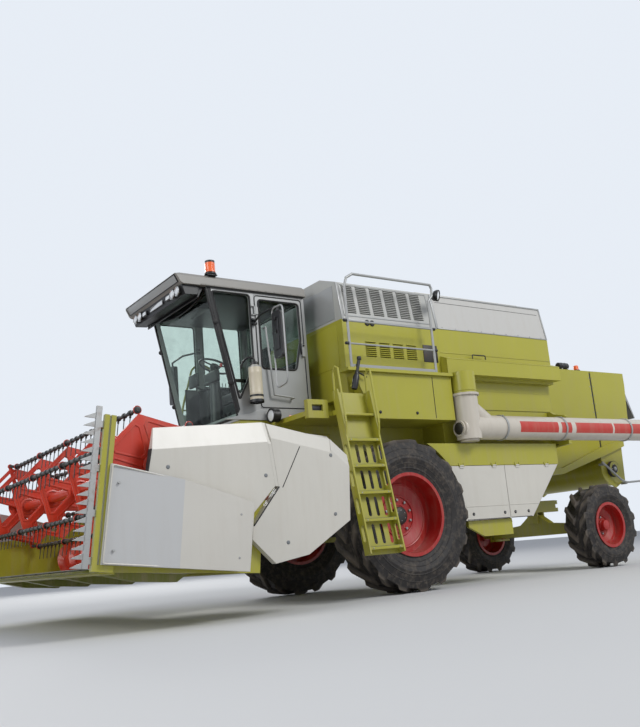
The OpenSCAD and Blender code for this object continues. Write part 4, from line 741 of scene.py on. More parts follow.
canisterPlan = {
    "place": (1.72, 0.90),
    "bottle": [(0.0, 0.452), (0.045, 0.450), (0.050, 0.440), (0.050, 0.412), (0.070, 0.408), (0.080, 0.396),
               (0.0805, 0.34), (0.0825, 0.332), (0.0805, 0.324), (0.0805, 0.09), (0.0825, 0.082),
               (0.0805, 0.074), (0.0800, 0.008), (0.072, 0.0)],
    "clamp": [(0.084, 0.0), (0.084, 0.022), (0.080, 0.024), (0.080, -0.002)],
    "lid": [(0.0, 0.04), (0.03, 0.038), (0.054, 0.026), (0.056, 0.0), (0.05, -0.004)],
    "foot": [(0.088, 0.0), (0.088, 0.03), (0.06, 0.04), (0.055, -0.01)],
    "hose": [(1.72, 0.90, 2.85), (1.72, 0.90, 2.90), (1.78, 0.86, 2.93), (1.83, 0.80, 2.88),
             (1.84, 0.775, 2.80)],
}


def makeCanister():
    piece = bmesh.new()
    place = canisterPlan["place"]
    put(piece, 0, turned(canisterPlan["bottle"], (*place, 2.392), steps=32))
    put(piece, 1, turned(canisterPlan["clamp"], (*place, 2.43), steps=32),
        turned(canisterPlan["lid"], (*place, 2.826), steps=28),
        turned(canisterPlan["foot"], (*place, 2.362), steps=28),
        pipe(canisterPlan["hose"], 0.014, 8, 0.06))
    finishPiece(piece, "canister", "chassis", ["creamPaint", "blackPlastic"])


handrailPlan = {
    "y": -0.90,
    "rail": [(1.86, 2.17), (1.84, 2.60), (1.70, 3.05), (1.66, 3.20), (1.50, 3.26), (1.36, 3.20),
             (1.34, 2.17)],
    "crossbar": [(1.84, 2.60), (1.34, 2.60)],
    "sill": [(1.25, 2.165), (1.89, 2.165), (1.89, 2.12), (1.25, 2.12)],
}


def makeFarHandrail():
    piece = bmesh.new()
    y = handrailPlan["y"]
    put(piece, 0, pipe([(x, y, z) for x, z in handrailPlan["rail"]], 0.015, 10, 0.12),
        pipe([(x, y, z) for x, z in handrailPlan["crossbar"]], 0.011),
        *(block((x - 0.03, y - 0.03, 2.164), (x + 0.03, y + 0.13, 2.178), 0.003) for x in (1.86, 1.34)),
        sideSheet(handrailPlan["sill"], -0.935, -0.775))
    finishPiece(piece, "far_handrail", "chassis", ["limePaint"])


controlPlan = {
    "column": [(0.10, 0.0), (0.085, 0.05), (0.078, 0.30), (0.062, 0.62), (0.060, 0.74), (0.045, 0.78)],
    "hub": [(0.052, -0.03), (0.060, 0.0), (0.050, 0.022), (0, 0.028)],
    "wheelLean": (-0.37, 0, 0.93),
    "stalkKnob": [(0, 0.05), (0.016, 0.045), (0.020, 0.02), (0.012, 0)],
    "gauge": [(0.036, 0), (0.038, 0.008), (0.032, 0.010), (0.030, 0.003), (0, 0.003)],
    "lever": [(1.60, -0.50, 2.82), (1.62, -0.50, 2.95), (1.585, -0.49, 3.03)],
    "leverKnob": [(0, 0.10), (0.022, 0.09), (0.028, 0.05), (0.020, 0.0), (0.012, -0.01)],
    "pedals": (-0.20, 0.16, 0.28),
    "pedalHinge": (1.75, 0, 2.3),
    "pedalLean": 0.5,
}


def makeCabInside():
    piece = bmesh.new()
    # Column boot, wheel hub and indicator stalk
    put(piece, 0, turned(controlPlan["column"], (1.792, 0, 2.2), steps=20),
        turned(controlPlan["hub"], (1.785, 0, 3.01), controlPlan["wheelLean"], 20),
        pipe([(1.79, 0.03, 2.93), (1.80, 0.20, 2.96)], 0.008))
    put(piece, 2, turned(controlPlan["stalkKnob"], (1.80, 0.205, 2.955), steps=14))
    # Gauge pod on the column
    put(piece, 0, block((1.80, -0.17, 2.78), (1.87, 0.17, 2.93), 0.02, 3))
    put(piece, 1, *(turned(controlPlan["gauge"], (1.800, y, 2.86), (-1, 0, 0), 20)
                    for y in (-0.10, 0.0, 0.10)))
    # Side console with levers, switches and its screen
    put(piece, 0, block((1.28, -0.66, 2.785), (1.72, -0.385, 2.83), 0.015, 3),
        turned(controlPlan["leverKnob"], (1.585, -0.49, 3.0), steps=16),
        block((1.80, -0.66, 2.84), (1.84, -0.42, 3.02), 0.012, 3),
        pipe([(1.68, -0.52, 2.80), (1.82, -0.54, 2.86)], 0.012))
    put(piece, 1, pipe(controlPlan["lever"], 0.010, 8, 0.04))
    put(piece, 3, block((1.794, -0.64, 2.86), (1.802, -0.44, 3.00), 0.003))
    for i in range(4):
        x = 1.34 + i * 0.055
        put(piece, 2, block((x, -0.60, 2.826), (x + 0.025, -0.575, 2.842), 0.003))
        put(piece, 1, pipe([(1.34 + i * 0.05, -0.46, 2.82), (1.335 + i * 0.05, -0.46, 2.90)], 0.005, 6))
    # Pedals, floor mat and headlining
    hinge = Matrix.Translation(controlPlan["pedalHinge"])
    lean = hinge @ Matrix.Rotation(controlPlan["pedalLean"], 4, "Y") @ hinge.inverted()
    for y in controlPlan["pedals"]:
        put(piece, 0, block((1.74, y - 0.04, 2.27), (1.765, y + 0.04, 2.36), 0.006), where=lean)
        put(piece, 1, pipe([(1.765, y, 2.30), (1.83, y, 2.21)], 0.009, 6))
    put(piece, 0, block((0.90, -0.73, 2.2005), (1.89, 0.73, 2.212)),
        block((0.90, -0.73, 3.745), (2.16, 0.73, 3.785), 0.015, 3),
        block((1.95, -0.30, 3.68), (2.12, 0.30, 3.75), 0.02, 3))
    # Dark lining of the rear wall and of the right wall under its window
    put(piece, 0, block((0.8805, -0.728, 2.213), (0.8885, 0.728, 2.970), 0.003),
        block((0.8900, -0.7395, 2.213), (1.860, -0.7315, 2.850), 0.003))
    # Sun visor with its curved lower edge
    visor = [(2.232, y / 10, 3.66 + 0.10 * (y / 7) ** 2) for y in range(-7, 8)]
    put(piece, 0, pipe(visor, 0.010, 6),
        *(block((2.222, a[1] - 0.002, min(a[2], b[2])), (2.230, b[1] + 0.002, 3.785), 0.001, 1)
          for a, b in zip(visor, visor[1:])))
    finishPiece(piece, "cab_controls", "chassis",
                ["blackPlastic", "darkMetal", "redLens", "clearGlass"])


# Driver's seat

seatPlan = {
    "cushion": ((1.14, -0.24, 2.535), (1.63, 0.24, 2.655)),
    "cushionSeams": [(1, -0.13), (1, 0.13), (0, 1.30), (0, 1.46)],
    "back": ((-0.045, -0.235, 0.0), (0.045, 0.235, 0.62)),
    "backSeams": [(1, -0.13), (1, 0.13), (2, 0.16), (2, 0.30), (2, 0.44)],
    "backPlace": (1.165, 0, 2.66),
    "backLean": -8.0,
    "voxel": 0.012,
    "pressure": 4.0,
    "swell": 0.014,
    "seamWidth": 0.016,
    "seamDepth": 0.011,
    "backPlate": [(1.10, 2.54), (1.16, 2.54), (1.10, 3.20), (1.06, 3.20)],
    "armrest": [(1.12, 0.275, 2.60), (1.10, 0.275, 2.88), (1.16, 0.275, 2.90)],
}


def applyAll(piece):
    bpy.context.view_layer.update()
    evaluated = piece.evaluated_get(bpy.context.evaluated_depsgraph_get())
    mesh = bpy.data.meshes.new_from_object(evaluated)
    old = piece.data
    piece.modifiers.clear()
    piece.data = mesh
    bpy.data.meshes.remove(old)
    for polygon in mesh.polygons:
        polygon.use_smooth = True


# Blows the pad up from inside, by no more than the swell
def fillPad(pad):
    start = [v.co.copy() for v in pad.data.vertices]
    press = pad.modifiers.new("filling", "CLOTH")
    press.settings.use_pressure = True
    press.settings.uniform_pressure_force = seatPlan["pressure"]
    press.settings.effector_weights.gravity = 0
    press.settings.quality = 6
    scene = bpy.context.scene
    for moment in range(1, 16):
        scene.frame_set(moment)
    evaluated = pad.evaluated_get(bpy.context.evaluated_depsgraph_get())
    moved = [v.co.copy() for v in evaluated.data.vertices]
    pad.modifiers.clear()
    scene.frame_set(1)
    for vert, was, now in zip(pad.data.vertices, start, moved):
        step = now - was
        if step.length > seatPlan["swell"]:
            step = step.normalized() * seatPlan["swell"]
        vert.co = was + step


def makePad(name, corners, place, seams):
    mesh = bpy.data.meshes.new(name)
    work = block(*corners, 0.035, 4)
    bmesh.ops.subdivide_edges(work, edges=[e for e in work.edges if e.calc_length() > 0.08], cuts=5,
                              use_grid_fill=True)
    work.to_mesh(mesh)
    work.free()
    pad = addObject(name, mesh)
    remesh = pad.modifiers.new("grain", "REMESH")
    remesh.mode = "VOXEL"
    remesh.voxel_size = seatPlan["voxel"]
    applyAll(pad)
    fillPad(pad)
    # Sewn channels are drawn in after the filling
    for vert in pad.data.vertices:
        gap = min(abs(vert.co[axis] - value) for axis, value in seams)
        vert.co -= vert.normal * max(0.0, 1 - gap / seatPlan["seamWidth"]) * seatPlan["seamDepth"]
    work = bmesh.new()
    work.from_mesh(pad.data)
    bmesh.ops.smooth_vert(work, verts=work.verts[:], factor=0.5, use_axis_x=True, use_axis_y=True,
                          use_axis_z=True)
    work.to_mesh(pad.data)
    work.free()
    pad.data.transform(machineFrame @ place)
    soft = pad.modifiers.new("soft", "SUBSURF")
    soft.levels = soft.render_levels = 1
    applyAll(pad)
    pad.data.materials.clear()
    pad.data.materials.append(finishes["seatCloth"])
    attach(pad, "chassis")
    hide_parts("driver_seat")


def makeSeat():
    makePad("seat_cushion", seatPlan["cushion"], Matrix.Identity(4), seatPlan["cushionSeams"])
    lean = Matrix.Rotation(math.radians(seatPlan["backLean"]), 4, "Y")
    place = Matrix.Translation(seatPlan["backPlace"]) @ lean
    makePad("seat_back", seatPlan["back"], place, seatPlan["backSeams"])
    piece = bmesh.new()
    put(piece, 0, block((1.13, -0.245, 2.5202), (1.64, 0.245, 2.538), 0.006),
        sideSheet(seatPlan["backPlate"], -0.20, 0.20))
    put(piece, 0, block((1.10, 0.244, 2.56), (1.20, 0.280, 2.62), 0.006),
        pipe(seatPlan["armrest"], 0.014, 8, 0.03),
        block((1.14, 0.245, 2.885), (1.42, 0.305, 2.925), 0.014, 3), both=True)
    finishPiece(piece, "seat_frame", "chassis", ["blackPlastic"])


# Engine housing and grain tank

upperLean = math.atan2(0.08, 0.51)  # of the sheet above the shoulder
louvrePlan = {
    "face": 1.30, "lean": 0.08 / 0.51, "pitch": 0.227, "width": 0.168, "slat": 0.026,
    "upper": {"front": 0.56, "columns": 6, "low": 3.48, "rows": 15},
    "lower": {"front": 0.31, "columns": 4, "low": 2.92, "rows": 8},
}


def shoulderFrame(side, y):
    return Matrix.Translation((0, side * y, shoulder)) @ Matrix.Rotation(side * upperLean, 4, "X")


# Pressed lip over one slot
def louvreLip(x0, x1, y, z):
    across = [(y - 0.002, z + 0.026), (y + 0.009, z + 0.013), (y + 0.008, z + 0.011), (y - 0.004, z + 0.020)]
    return extruded([(x0 - 0.003, a, b) for a, b in across], (x1 - x0 + 0.006, 0, 0))


def makeLouvres():
    piece = bmesh.new()
    for field in (louvrePlan["upper"], louvrePlan["lower"]):
        for column in range(field["columns"]):
            x1 = field["front"] - column * louvrePlan["pitch"]
            for row in range(field["rows"]):
                z = field["low"] + row * louvrePlan["slat"]
                y = louvrePlan["face"] - louvrePlan["lean"] * max(0.0, z - shoulder)
                put(piece, 1, louvreLip(x1 - louvrePlan["width"], x1, y, z), both=True)
    # Dark screens behind the slots
    put(piece, 0, block((-0.80, -0.066, 0.06), (0.60, -0.054, 0.50), 0.002, 1),
        where=shoulderFrame(1, louvrePlan["face"]), both=True)
    put(piece, 0, block((-0.62, 1.240, 2.88), (0.34, 1.250, 3.16), 0.002, 1), both=True)
    finishPiece(piece, "louvres", "chassis", ["blackPaint", "housingPaint"])


housingPlan = {
    "y": 1.301,
    "doorFrame": [((-0.86, -0.003, 0.045), (0.60, 0.006, 0.060)),
                  ((-0.86, -0.003, 0.485), (0.60, 0.006, 0.498)),
                  ((0.588, -0.003, 0.045), (0.602, 0.006, 0.498)),
                  ((-0.872, -0.003, 0.045), (-0.858, 0.006, 0.498))],
    "posts": [((0.622, -0.004, 0.0), (0.648, 0.010, 0.51)), ((-0.956, -0.004, 0.0), (-0.936, 0.010, 0.51))],
    "strips": [  # material, y, low corner, high corner, edge, segments
        (1, 1.300, (-0.95, -0.004, 3.378), (0.65, 0.006, 3.394), 0.003, 2),  # along the shoulder
        (0, 1.308, (0.16, -0.005, 3.356), (0.26, 0.005, 3.374), 0.004, 2),  # lock bar
        (3, 1.302, (-0.905, -0.003, 2.905), (-0.655, 0.004, 3.14), 0.003, 2),  # dark hatch
        (2, 1.301, (-3.17, -0.004, 3.05), (-0.97, 0.005, 3.062), 0.003, 2),  # fold of the tank side
        (0, 1.451, (-0.62, -0.004, 2.12), (-0.612, 0.004, 2.66), 0.002, 1),  # door line of the service box
        (2, 1.449, (-0.94, -0.004, 2.662), (0.62, 0.008, 2.678), 0.004, 2)],  # top fold of the service box
    "hinge": [(0, 0.014), (0.030, 0.012), (0.040, 0.004), (0.040, -0.004)],
    "latch": [(0, 0.012), (0.014, 0.012), (0.020, 0.006), (0.020, -0.004)],
    "buffer": [(0, 0.03), (0.014, 0.028), (0.020, 0.02), (0.020, -0.02), (0, -0.022)],
    "collar": [(0.058, 0.0), (0.066, 0.01), (0.066, 0.075), (0.050, 0.082), (0.050, 0.03)],
    "roofSeams": (0.30, -0.30, -0.70),
}


def makeHousingTrim():
    piece = bmesh.new()
    for side in (1, -1):
        out = (0, side, 0)
        # Frame of the upper louvre door with its posts, and the strips, hinges and latches of the side
        lean = shoulderFrame(side, housingPlan["y"])
        put(piece, 1, *(block(low, high, 0.002, 1) for low, high in housingPlan["doorFrame"]),
            *(block(low, high) for low, high in housingPlan["posts"]), where=lean)
        for material, y, low, high, edge, segments in housingPlan["strips"]:
            put(piece, material, block(low, high, edge, segments), where=Matrix.Translation((0, side * y, 0)))
        put(piece, 0, *(turned(housingPlan["hinge"], (x, side * 1.302, 3.365), out, 20)
                        for x in (0.17, 0.25)),
            *(turned(housingPlan["latch"], (x, side * 1.450, 2.18), out, 18) for x in (-0.30, 0.30)))
    # Rubber buffer caps of the rails
    put(piece, 0, *(turned(housingPlan["buffer"], (x, 1.48, z), ahead, 14) for x in (0.735, -0.715)
                    for z in (3.02, 3.31)))
    # Pressed fields of the front wall
    put(piece, 1, block((0.648, -1.16, 3.42), (0.656, 1.16, 3.86)))
    put(piece, 2, block((0.648, -1.18, 2.80), (0.656, 1.18, 3.34)))
    # Roof seams and the collar of the exhaust
    put(piece, 1, *(block((x - 0.012, -0.86, 4.017), (x + 0.012, 0.86, 4.028), 0.005)
                    for x in housingPlan["roofSeams"]))
    put(piece, 3, turned(housingPlan["collar"], (-0.50, 0.25, 4.02)))
    finishPiece(piece, "housing_trim", "chassis",
                ["blackPlastic", "silverPaint", "limePaint", "darkMetal"])


tankPlan = {
    "y": 1.301,
    "frame": [((-3.17, -0.004, -0.005), (-0.96, 0.007, 0.010)),
              ((-3.17, -0.004, 0.490), (-0.96, 0.010, 0.512)),
              ((-3.178, -0.004, 0.0), (-3.155, 0.009, 0.51)),
              ((-0.975, -0.004, 0.0), (-0.955, 0.009, 0.51))],
    "bolts": (9, -3.05, 0.25),
    "handle": [(-1.50, 2.985), (-1.50, 3.04), (-1.75, 3.04), (-1.75, 2.985)],
    "lidRibs": (-2.95, -2.50, -2.05, -1.60, -1.15),
    "lidMiddle": (0.44, 4.0743),
    "lidSlope": math.atan2(0.06, 0.877),
    "lidHandle": [(-2.14, 0.0), (-2.14, 0.03), (-1.96, 0.03), (-1.96, 0.0)],
}


def makeTankTrim():
    piece = bmesh.new()
    for side in (1, -1):
        tilt = shoulderFrame(side, tankPlan["y"])
        put(piece, 0, *(block(low, high, 0.003) for low, high in tankPlan["frame"]), where=tilt)
        put(piece, 2, block((-3.10, -0.003, 0.40), (-1.02, 0.003, 0.404), 0.001, 1), where=tilt)
        count, first, pitch = tankPlan["bolts"]
        put(piece, 1, *(bolt((first + i * pitch, 0.006, 0.018), (0, side, 0)) for i in range(count)),
            where=tilt)
        # Grab handle and edge strip of the ledge
        put(piece, 2, pipe([(x, side * 1.36, z) for x, z in tankPlan["handle"]], 0.008, 8, 0.02))
        put(piece, 3, block((-3.20, side * 1.418 - 0.004, 2.94), (-0.96, side * 1.418 + 0.006, 2.952), 0.003))
    finishPiece(piece, "tank_trim", "chassis",
                ["silverPaint", "bareSteel", "blackPlastic", "limePaint"])
    for side, body in ((1, "tank_lid_left"), (-1, "tank_lid_right")):
        piece = bmesh.new()
        y, z = tankPlan["lidMiddle"]
        slope = Matrix.Translation((0, side * y, z)) @ Matrix.Rotation(-side * tankPlan["lidSlope"], 4, "X")
        ribs = (block((x - 0.02, -0.38, -0.002), (x + 0.02, 0.38, 0.009)) for x in tankPlan["lidRibs"])
        handle = [(x, -side * 0.33, z) for x, z in tankPlan["lidHandle"]]
        put(piece, 0, *ribs, where=slope)
        put(piece, 1, pipe(handle, 0.006, 8, 0.015), where=slope)
        finishPiece(piece, body + "_ribs", body, ["whitePaint", "blackPlastic"])


deckPlan = {
    "workLamp": (-0.86, 1.46, 3.80),
    "workLampAim": (-0.55, 0.80, -0.25),
    "workLampShell": [(0, -0.05), (0.030, -0.05), (0.060, -0.035), (0.078, 0.0), (0.080, 0.03),
                      (0.072, 0.034)],
    "workLampLens": [(0, 0.036), (0.03, 0.034), (0.060, 0.026), (0.072, 0.016)],
    "workLampArm": [(-0.735, 1.48, 3.76), (-0.80, 1.47, 3.72), (-0.85, 1.46, 3.745)],
    "leverBoot": [(0, -0.11), (0.034, -0.10), (0.040, -0.06), (0.040, 0.06), (0.030, 0.09), (0.018, 0.11)],
    "leverLean": (-0.28, 0.02, 0.96),
    "leverKnob": [(0, 0.03), (0.024, 0.024), (0.030, 0.0), (0.024, -0.024), (0, -0.03)],
    "clips": ((0.690, 2.49), (0.622, 2.72)),
}


def makeDeckGear():
    piece = bmesh.new()
    # Work lamp on the rear post of the rail
    lamp, aim = deckPlan["workLamp"], deckPlan["workLampAim"]
    put(piece, 0, turned(deckPlan["workLampShell"], lamp, aim, 28),
        pipe(deckPlan["workLampArm"], 0.010, 8, 0.02))
    put(piece, 1, turned(deckPlan["workLampLens"], lamp, aim, 28))
    # Folding lever in its clips beside the ladder
    put(piece, 0, pipe([(0.705, 1.492, 2.44), (0.60, 1.500, 2.80)], 0.022, 10),
        turned(deckPlan["leverBoot"], (0.675, 1.495, 2.54), deckPlan["leverLean"], 18),
        turned(deckPlan["leverKnob"], (0.592, 1.50, 2.83), steps=16),
        pipe([(0.640, 1.50, 2.66), (0.50, 1.50, 2.60)], 0.010))
    put(piece, 2, *(block((x - 0.04, 1.446, z - 0.016), (x + 0.04, 1.492, z + 0.016))
                    for x, z in deckPlan["clips"]))
    # Orange reflector on the apron and the plate in the lamp bracket
    put(piece, 3, block((1.10, 0.800, 2.205), (1.22, 0.808, 2.235), 0.003))
    put(piece, 0, block((1.18, 1.452, 2.17), (1.33, 1.462, 2.235), 0.003))
    finishPiece(piece, "deck_gear", "chassis",
                ["blackPlastic", "whiteLens", "limePaint", "amberLens"])


# Body and hood

doorPlan = {
    "y": 1.400,
    "doors": [("front", -1.780, -1.000, (-1.70, -1.12)), ("rear", -2.380, -1.820, (-2.16, -1.90))],
    "stripStart": -2.22,
    "latch": [(0, 0.010), (0.016, 0.009), (0.021, 0.004), (0.022, -0.002)],
}


def makeDoorTrim():
    for side, end in ((1, "left"), (-1, "right")):
        y = side * doorPlan["y"]
        slot = y + side * 0.009
        for name, x0, x1, latches in doorPlan["doors"]:
            piece = bmesh.new()
            # Pressed crease, foot strip and turn latches
            put(piece, 0, block((x0, y - 0.004, 0.968), (x1, y + 0.004, 0.980), 0.003))
            start = max(x0, doorPlan["stripStart"])
            put(piece, 1, block((start, y - 0.012, 0.800), (x1, y + 0.003, 0.809), 0.002),
                *(turned(doorPlan["latch"], (x, y, 0.875), (0, side, 0), 18) for x in latches))
            put(piece, 2, *(block((x - 0.014, slot - 0.003, 0.872), (x + 0.014, slot + 0.003, 0.878), 0.002)
                            for x in latches))
            body = "side_door_%s_%s" % (name, end)
            finishPiece(piece, body + "_trim", body,
                        ["whitePaint", "blackRubber", "bareSteel"])


hoodPlan = {
    "side": 0.80,
    "seams": ((-4.732, 1.76), (-3.542, 1.50)),
    "ribs": (-3.70, -4.10, -4.50, -4.90, -5.30),
    "reservoir": [(0, 0), (0.046, 0.002), (0.055, 0.012), (0.055, 0.07), (0.058, 0.075), (0.055, 0.08),
                  (0.055, 0.15), (0.058, 0.155), (0.055, 0.16), (0.055, 0.218), (0.046, 0.228), (0, 0.23)],
    "marker": [(0, 0.075), (0.030, 0.072), (0.040, 0.060), (0.044, 0.0)],
}


def makeHoodTrim():
    piece = bmesh.new()
    side = hoodPlan["side"]
    # Seams with a row of bolts on each hand
    for x, low in hoodPlan["seams"]:
        put(piece, 1, block((x - 0.014, side - 0.0075, low), (x + 0.014, side - 0.0015, 3.07), 0.002, 1),
            both=True)
        heights = [low + 0.08 + i * (2.90 - low) / 8 for i in range(9)]
        put(piece, 3, *(bolt((x + step, side, z), left) for z in heights for step in (-0.045, 0.045)),
            both=True)
    # Rolled upper edges and stiffening ribs of the lid
    put(piece, 0, pipe([(-3.26, 0.792, 3.095), (-5.59, 0.792, 3.095)], 0.008), both=True)
    put(piece, 0, *(block((x - 0.02, -0.70, 3.098), (x + 0.02, 0.70, 3.110), 0.005)
                    for x in hoodPlan["ribs"]),
        block((-5.60, -0.74, 3.06), (-5.585, 0.74, 3.106)))
    # Black reservoir and orange marker on the hood's left edge
    put(piece, 1, turned(hoodPlan["reservoir"], (-4.27, 0.735, 3.168), ahead),
        block((-4.53, 0.705, 3.100), (-4.43, 0.785, 3.120), 0.005))
    put(piece, 3, *(block((x - 0.012, 0.68, 3.100), (x + 0.012, 0.79, 3.125)) for x in (-4.22, -4.09)))
    put(piece, 2, turned(hoodPlan["marker"], (-4.48, 0.745, 3.120), steps=20))
    # Rear lamps beside the flap
    for y in (0.60, -0.60):
        put(piece, 1, block((-5.628, y - 0.10, 3.012), (-5.612, y + 0.10, 3.062), 0.006))
        put(piece, 4, block((-5.634, y - 0.09, 3.018), (-5.624, y + 0.02, 3.056)))
        put(piece, 2, block((-5.634, y + 0.03, 3.018), (-5.624, y + 0.09, 3.056)))
    finishPiece(piece, "hood_trim", "chassis",
                ["limePaint", "blackPlastic", "amberLens", "bareSteel", "redLens"])


chopperPlan = {
    "shaft": (-4.95, 1.48),
    "pulley": [(0.035, 0.012), (0.060, 0.010), (0.078, -0.004), (0.104, -0.006)],
    "grooves": (3, 0.018),
    "pulleyBack": [(0.128, -0.054), (0.121, -0.056)],
    "hub": [(0, 0.024), (0.022, 0.022), (0.034, 0.010), (0.036, 0.0)],
    "handle": [(-4.62, 0.86, 1.59), (-5.10, 0.87, 1.25), (-5.545, 0.86, 1.266)],
    "handleFeet": ((-4.66, 1.555), (-5.16, 1.245)),
}


def makeChopperDrive():
    piece = bmesh.new()
    x, z = chopperPlan["shaft"]
    # Grooved belt pulleys on the ends of the chopper's shaft
    profile = list(chopperPlan["pulley"])
    count, pitch = chopperPlan["grooves"]
    for i in range(count):
        profile += [(0.128, -0.004 - i * pitch), (0.1225, -0.010 - i * pitch), (0.1225, -0.016 - i * pitch)]
    put(piece, 0, turned(profile + chopperPlan["pulleyBack"], (x, 0.835, z), left, 28), both=True)
    put(piece, 1, turned(chopperPlan["hub"], (x, 0.838, z), left, 16), both=True)
    boltRing(piece, 1, (x, 0.838, z), 0.068, 5, left, 0.008, 0.006, both=True)
    # Spreader handle along the chopper's left side
    put(piece, 2, pipe(chopperPlan["handle"], 0.017, 10, 0.12),
        *(block((x - 0.02, 0.765, z - 0.02), (x + 0.02, 0.868, z + 0.02), 0.005)
          for x, z in chopperPlan["handleFeet"]))
    finishPiece(piece, "chopper_drive", "chassis", ["darkMetal", "bareSteel", "silverPaint"])


tubePlan = {
    "y": 1.465, "z": 2.005, "radius": 0.165, "end": -5.85,
    "joints": (-1.738, -2.938, -4.438),
    # Profiles of (distance outside the tube, distance along it)
    "strap": [(0.0068, -0.018), (0.0115, -0.014), (0.0115, 0.014), (0.0068, 0.018)],
    "rim": [(0.0005, 0.004), (0.006, 0.008), (0.006, 0.030), (0.0005, 0.034)],
    "lip": [(-0.0075, 0.16), (-0.014, 0.15), (-0.014, 0.006), (-0.0075, 0.002)],
    "gearboxCover": [(0, 0.016), (0.050, 0.015), (0.070, 0.008), (0.082, 0.0)],
    "neck": -1.15,
    "neckRing": [(0.1648, -0.010), (0.171, -0.008), (0.171, 0.008), (0.1648, 0.010)],
}


def tubeRing(profile, x):
    around = [(tubePlan["radius"] + outside, along) for outside, along in profile]
    return turned(around, (x, tubePlan["y"], tubePlan["z"]), ahead, 40)


def makeTubeGear():
    piece = bmesh.new()
    y, z = tubePlan["y"], tubePlan["z"]
    # Clamp straps over the flanges with their bolts
    for x in tubePlan["joints"]:
        put(piece, 0, tubeRing(tubePlan["strap"], x))
        for a in map(math.radians, (60, 180, 300)):
            out = Vector((0, math.cos(a), math.sin(a)))
            at = Vector((x, y, z)) + out * (tubePlan["radius"] + 0.0115)
            put(piece, 1, bolt(at, out, 0.010, 0.010))
    # Steel rim and rubber lip of the outlet
    put(piece, 0, tubeRing(tubePlan["rim"], tubePlan["end"]))
    put(piece, 2, tubeRing(tubePlan["lip"], tubePlan["end"]))
    # Cover of the gearbox under the neck and the bolts of the swivel flange
    put(piece, 3, turned(tubePlan["gearboxCover"], (-0.9725, y, z - 0.02), ahead, 28))
    boltRing(piece, 1, (-0.973, y, z - 0.02), 0.092, 6, ahead, 0.009, 0.008)
    boltRing(piece, 1, (tubePlan["neck"], y, 2.4202), 0.178, 10, (0, 0, -1), 0.008, 0.010)
    finishPiece(piece, "tube_gear", "unloading_auger",
                ["silverPaint", "bareSteel", "blackRubber", "darkMetal"])
    piece = bmesh.new()
    # Rubber pads of the cradle and the ring on the turret
    put(piece, 0, *(block((-3.124, 1.26, low), (-3.056, 1.34, low + 0.012), 0.003) for low in (1.79, 2.19)))
    put(piece, 1, turned(tubePlan["neckRing"], (tubePlan["neck"], y, 2.49), steps=32))
    finishPiece(piece, "cradle_pads", "chassis", ["blackRubber", "limePaint"])


ladderPlan = {"treads": (0.54, 0.85, 1.16, 1.47, 1.78), "x": (0.55, 1.05), "top": (1.500, 2.390),
              "slope": 350 / 1910, "bars": (5, 0.019)}


def makeLadderGrip():
    piece = bmesh.new()
    x0, x1 = ladderPlan["x"]
    count, pitch = ladderPlan["bars"]
    for z in ladderPlan["treads"]:
        y = ladderPlan["top"][0] + (ladderPlan["top"][1] - z) * ladderPlan["slope"]
        for near in (y + 0.012 + k * pitch for k in range(count)):
            low, high = (x0 + 0.03, near, z + 0.0295), (x1 - 0.03, near + 0.006, z + 0.036)
            put(piece, 0, block(low, high, 0.002, 1))
        put(piece, 1, *(bolt((x, y + 0.1045, z + 0.015), left) for x in (x0 + 0.06, x1 - 0.06)))
    # Sixth tread, just under the platform
    put(piece, 2, block((x0 + 0.004, 1.555, 2.090), (x1 - 0.004, 1.660, 2.118)))
    finishPiece(piece, "tread_grips", "chassis", ["oldLime", "bareSteel", "limePaint"])


# Wheels and axles

wheelPlan = {
    "front": {
        "wheel": frontWheel, "disc": 1.213, "finishes": ["rimPaint", "darkMetal", "bareSteel", "blackRubber"],
        "rounds": [  # finish, steps, profile: two stepped rings, the hub cap and its flange
            (0, 56, [(0.232, 0.0), (0.234, 0.013), (0.240, 0.016), (0.250, 0.016), (0.256, 0.010)]),
            (0, 64, [(0.374, 0.036), (0.378, 0.048), (0.386, 0.052), (0.396, 0.050), (0.402, 0.040)]),
            (1, 32, [(0.112, 0.010), (0.112, 0.040), (0.104, 0.060), (0.085, 0.072), (0.050, 0.077),
                     (0.0, 0.079)]),
            (0, 36, [(0.128, 0.012), (0.130, 0.018), (0.144, 0.018), (0.148, 0.012)])],
        "nuts": [(1.213, 0.196, 10, 0.019, 0.024), (1.2805, 0.062, 6, 0.009, 0.008)],
        "valve": [(0.30, 1.262, 1.220), (0.312, 1.290, 1.232), (0.318, 1.330, 1.238)],
    },
    "rear": {
        "wheel": rearWheel, "disc": 1.228, "finishes": ["rimPaint", "rimPaint", "bareSteel", "blackRubber"],
        "rounds": [
            (0, 44, [(0.142, 0.0), (0.144, 0.010), (0.150, 0.013), (0.158, 0.010), (0.161, 0.004)]),
            (1, 30, [(0.0855, 0.0), (0.0875, 0.010), (0.0875, 0.046), (0.080, 0.0525), (0.0795, 0.085),
                     (0.070, 0.104), (0.040, 0.114), (0.0, 0.116)])],
        "nuts": [(1.228, 0.118, 6, 0.017, 0.020)],
        "valve": [(-3.70, 1.268, 0.77), (-3.692, 1.30, 0.778)],
    },
}


def makeWheelParts():
    for side, end in ((1, "left"), (-1, "right")):
        out = (0, side, 0)
        for name, plan in wheelPlan.items():
            piece = bmesh.new()
            x, z = plan["wheel"]["x"], plan["wheel"]["radius"]
            for material, steps, profile in plan["rounds"]:
                put(piece, material, turned(profile, (x, side * plan["disc"], z), out, steps))
            for y, radius, count, size, height in plan["nuts"]:
                boltRing(piece, 2, (x, side * y, z), radius, count, out, size, height, 0.5)
            put(piece, 3, pipe([(x, side * y, z) for x, y, z in plan["valve"]], 0.006))
            finishPiece(piece, "%s_wheel_parts_%s" % (name, end), "%s_wheel_%s" % (name, end),
                        plan["finishes"])


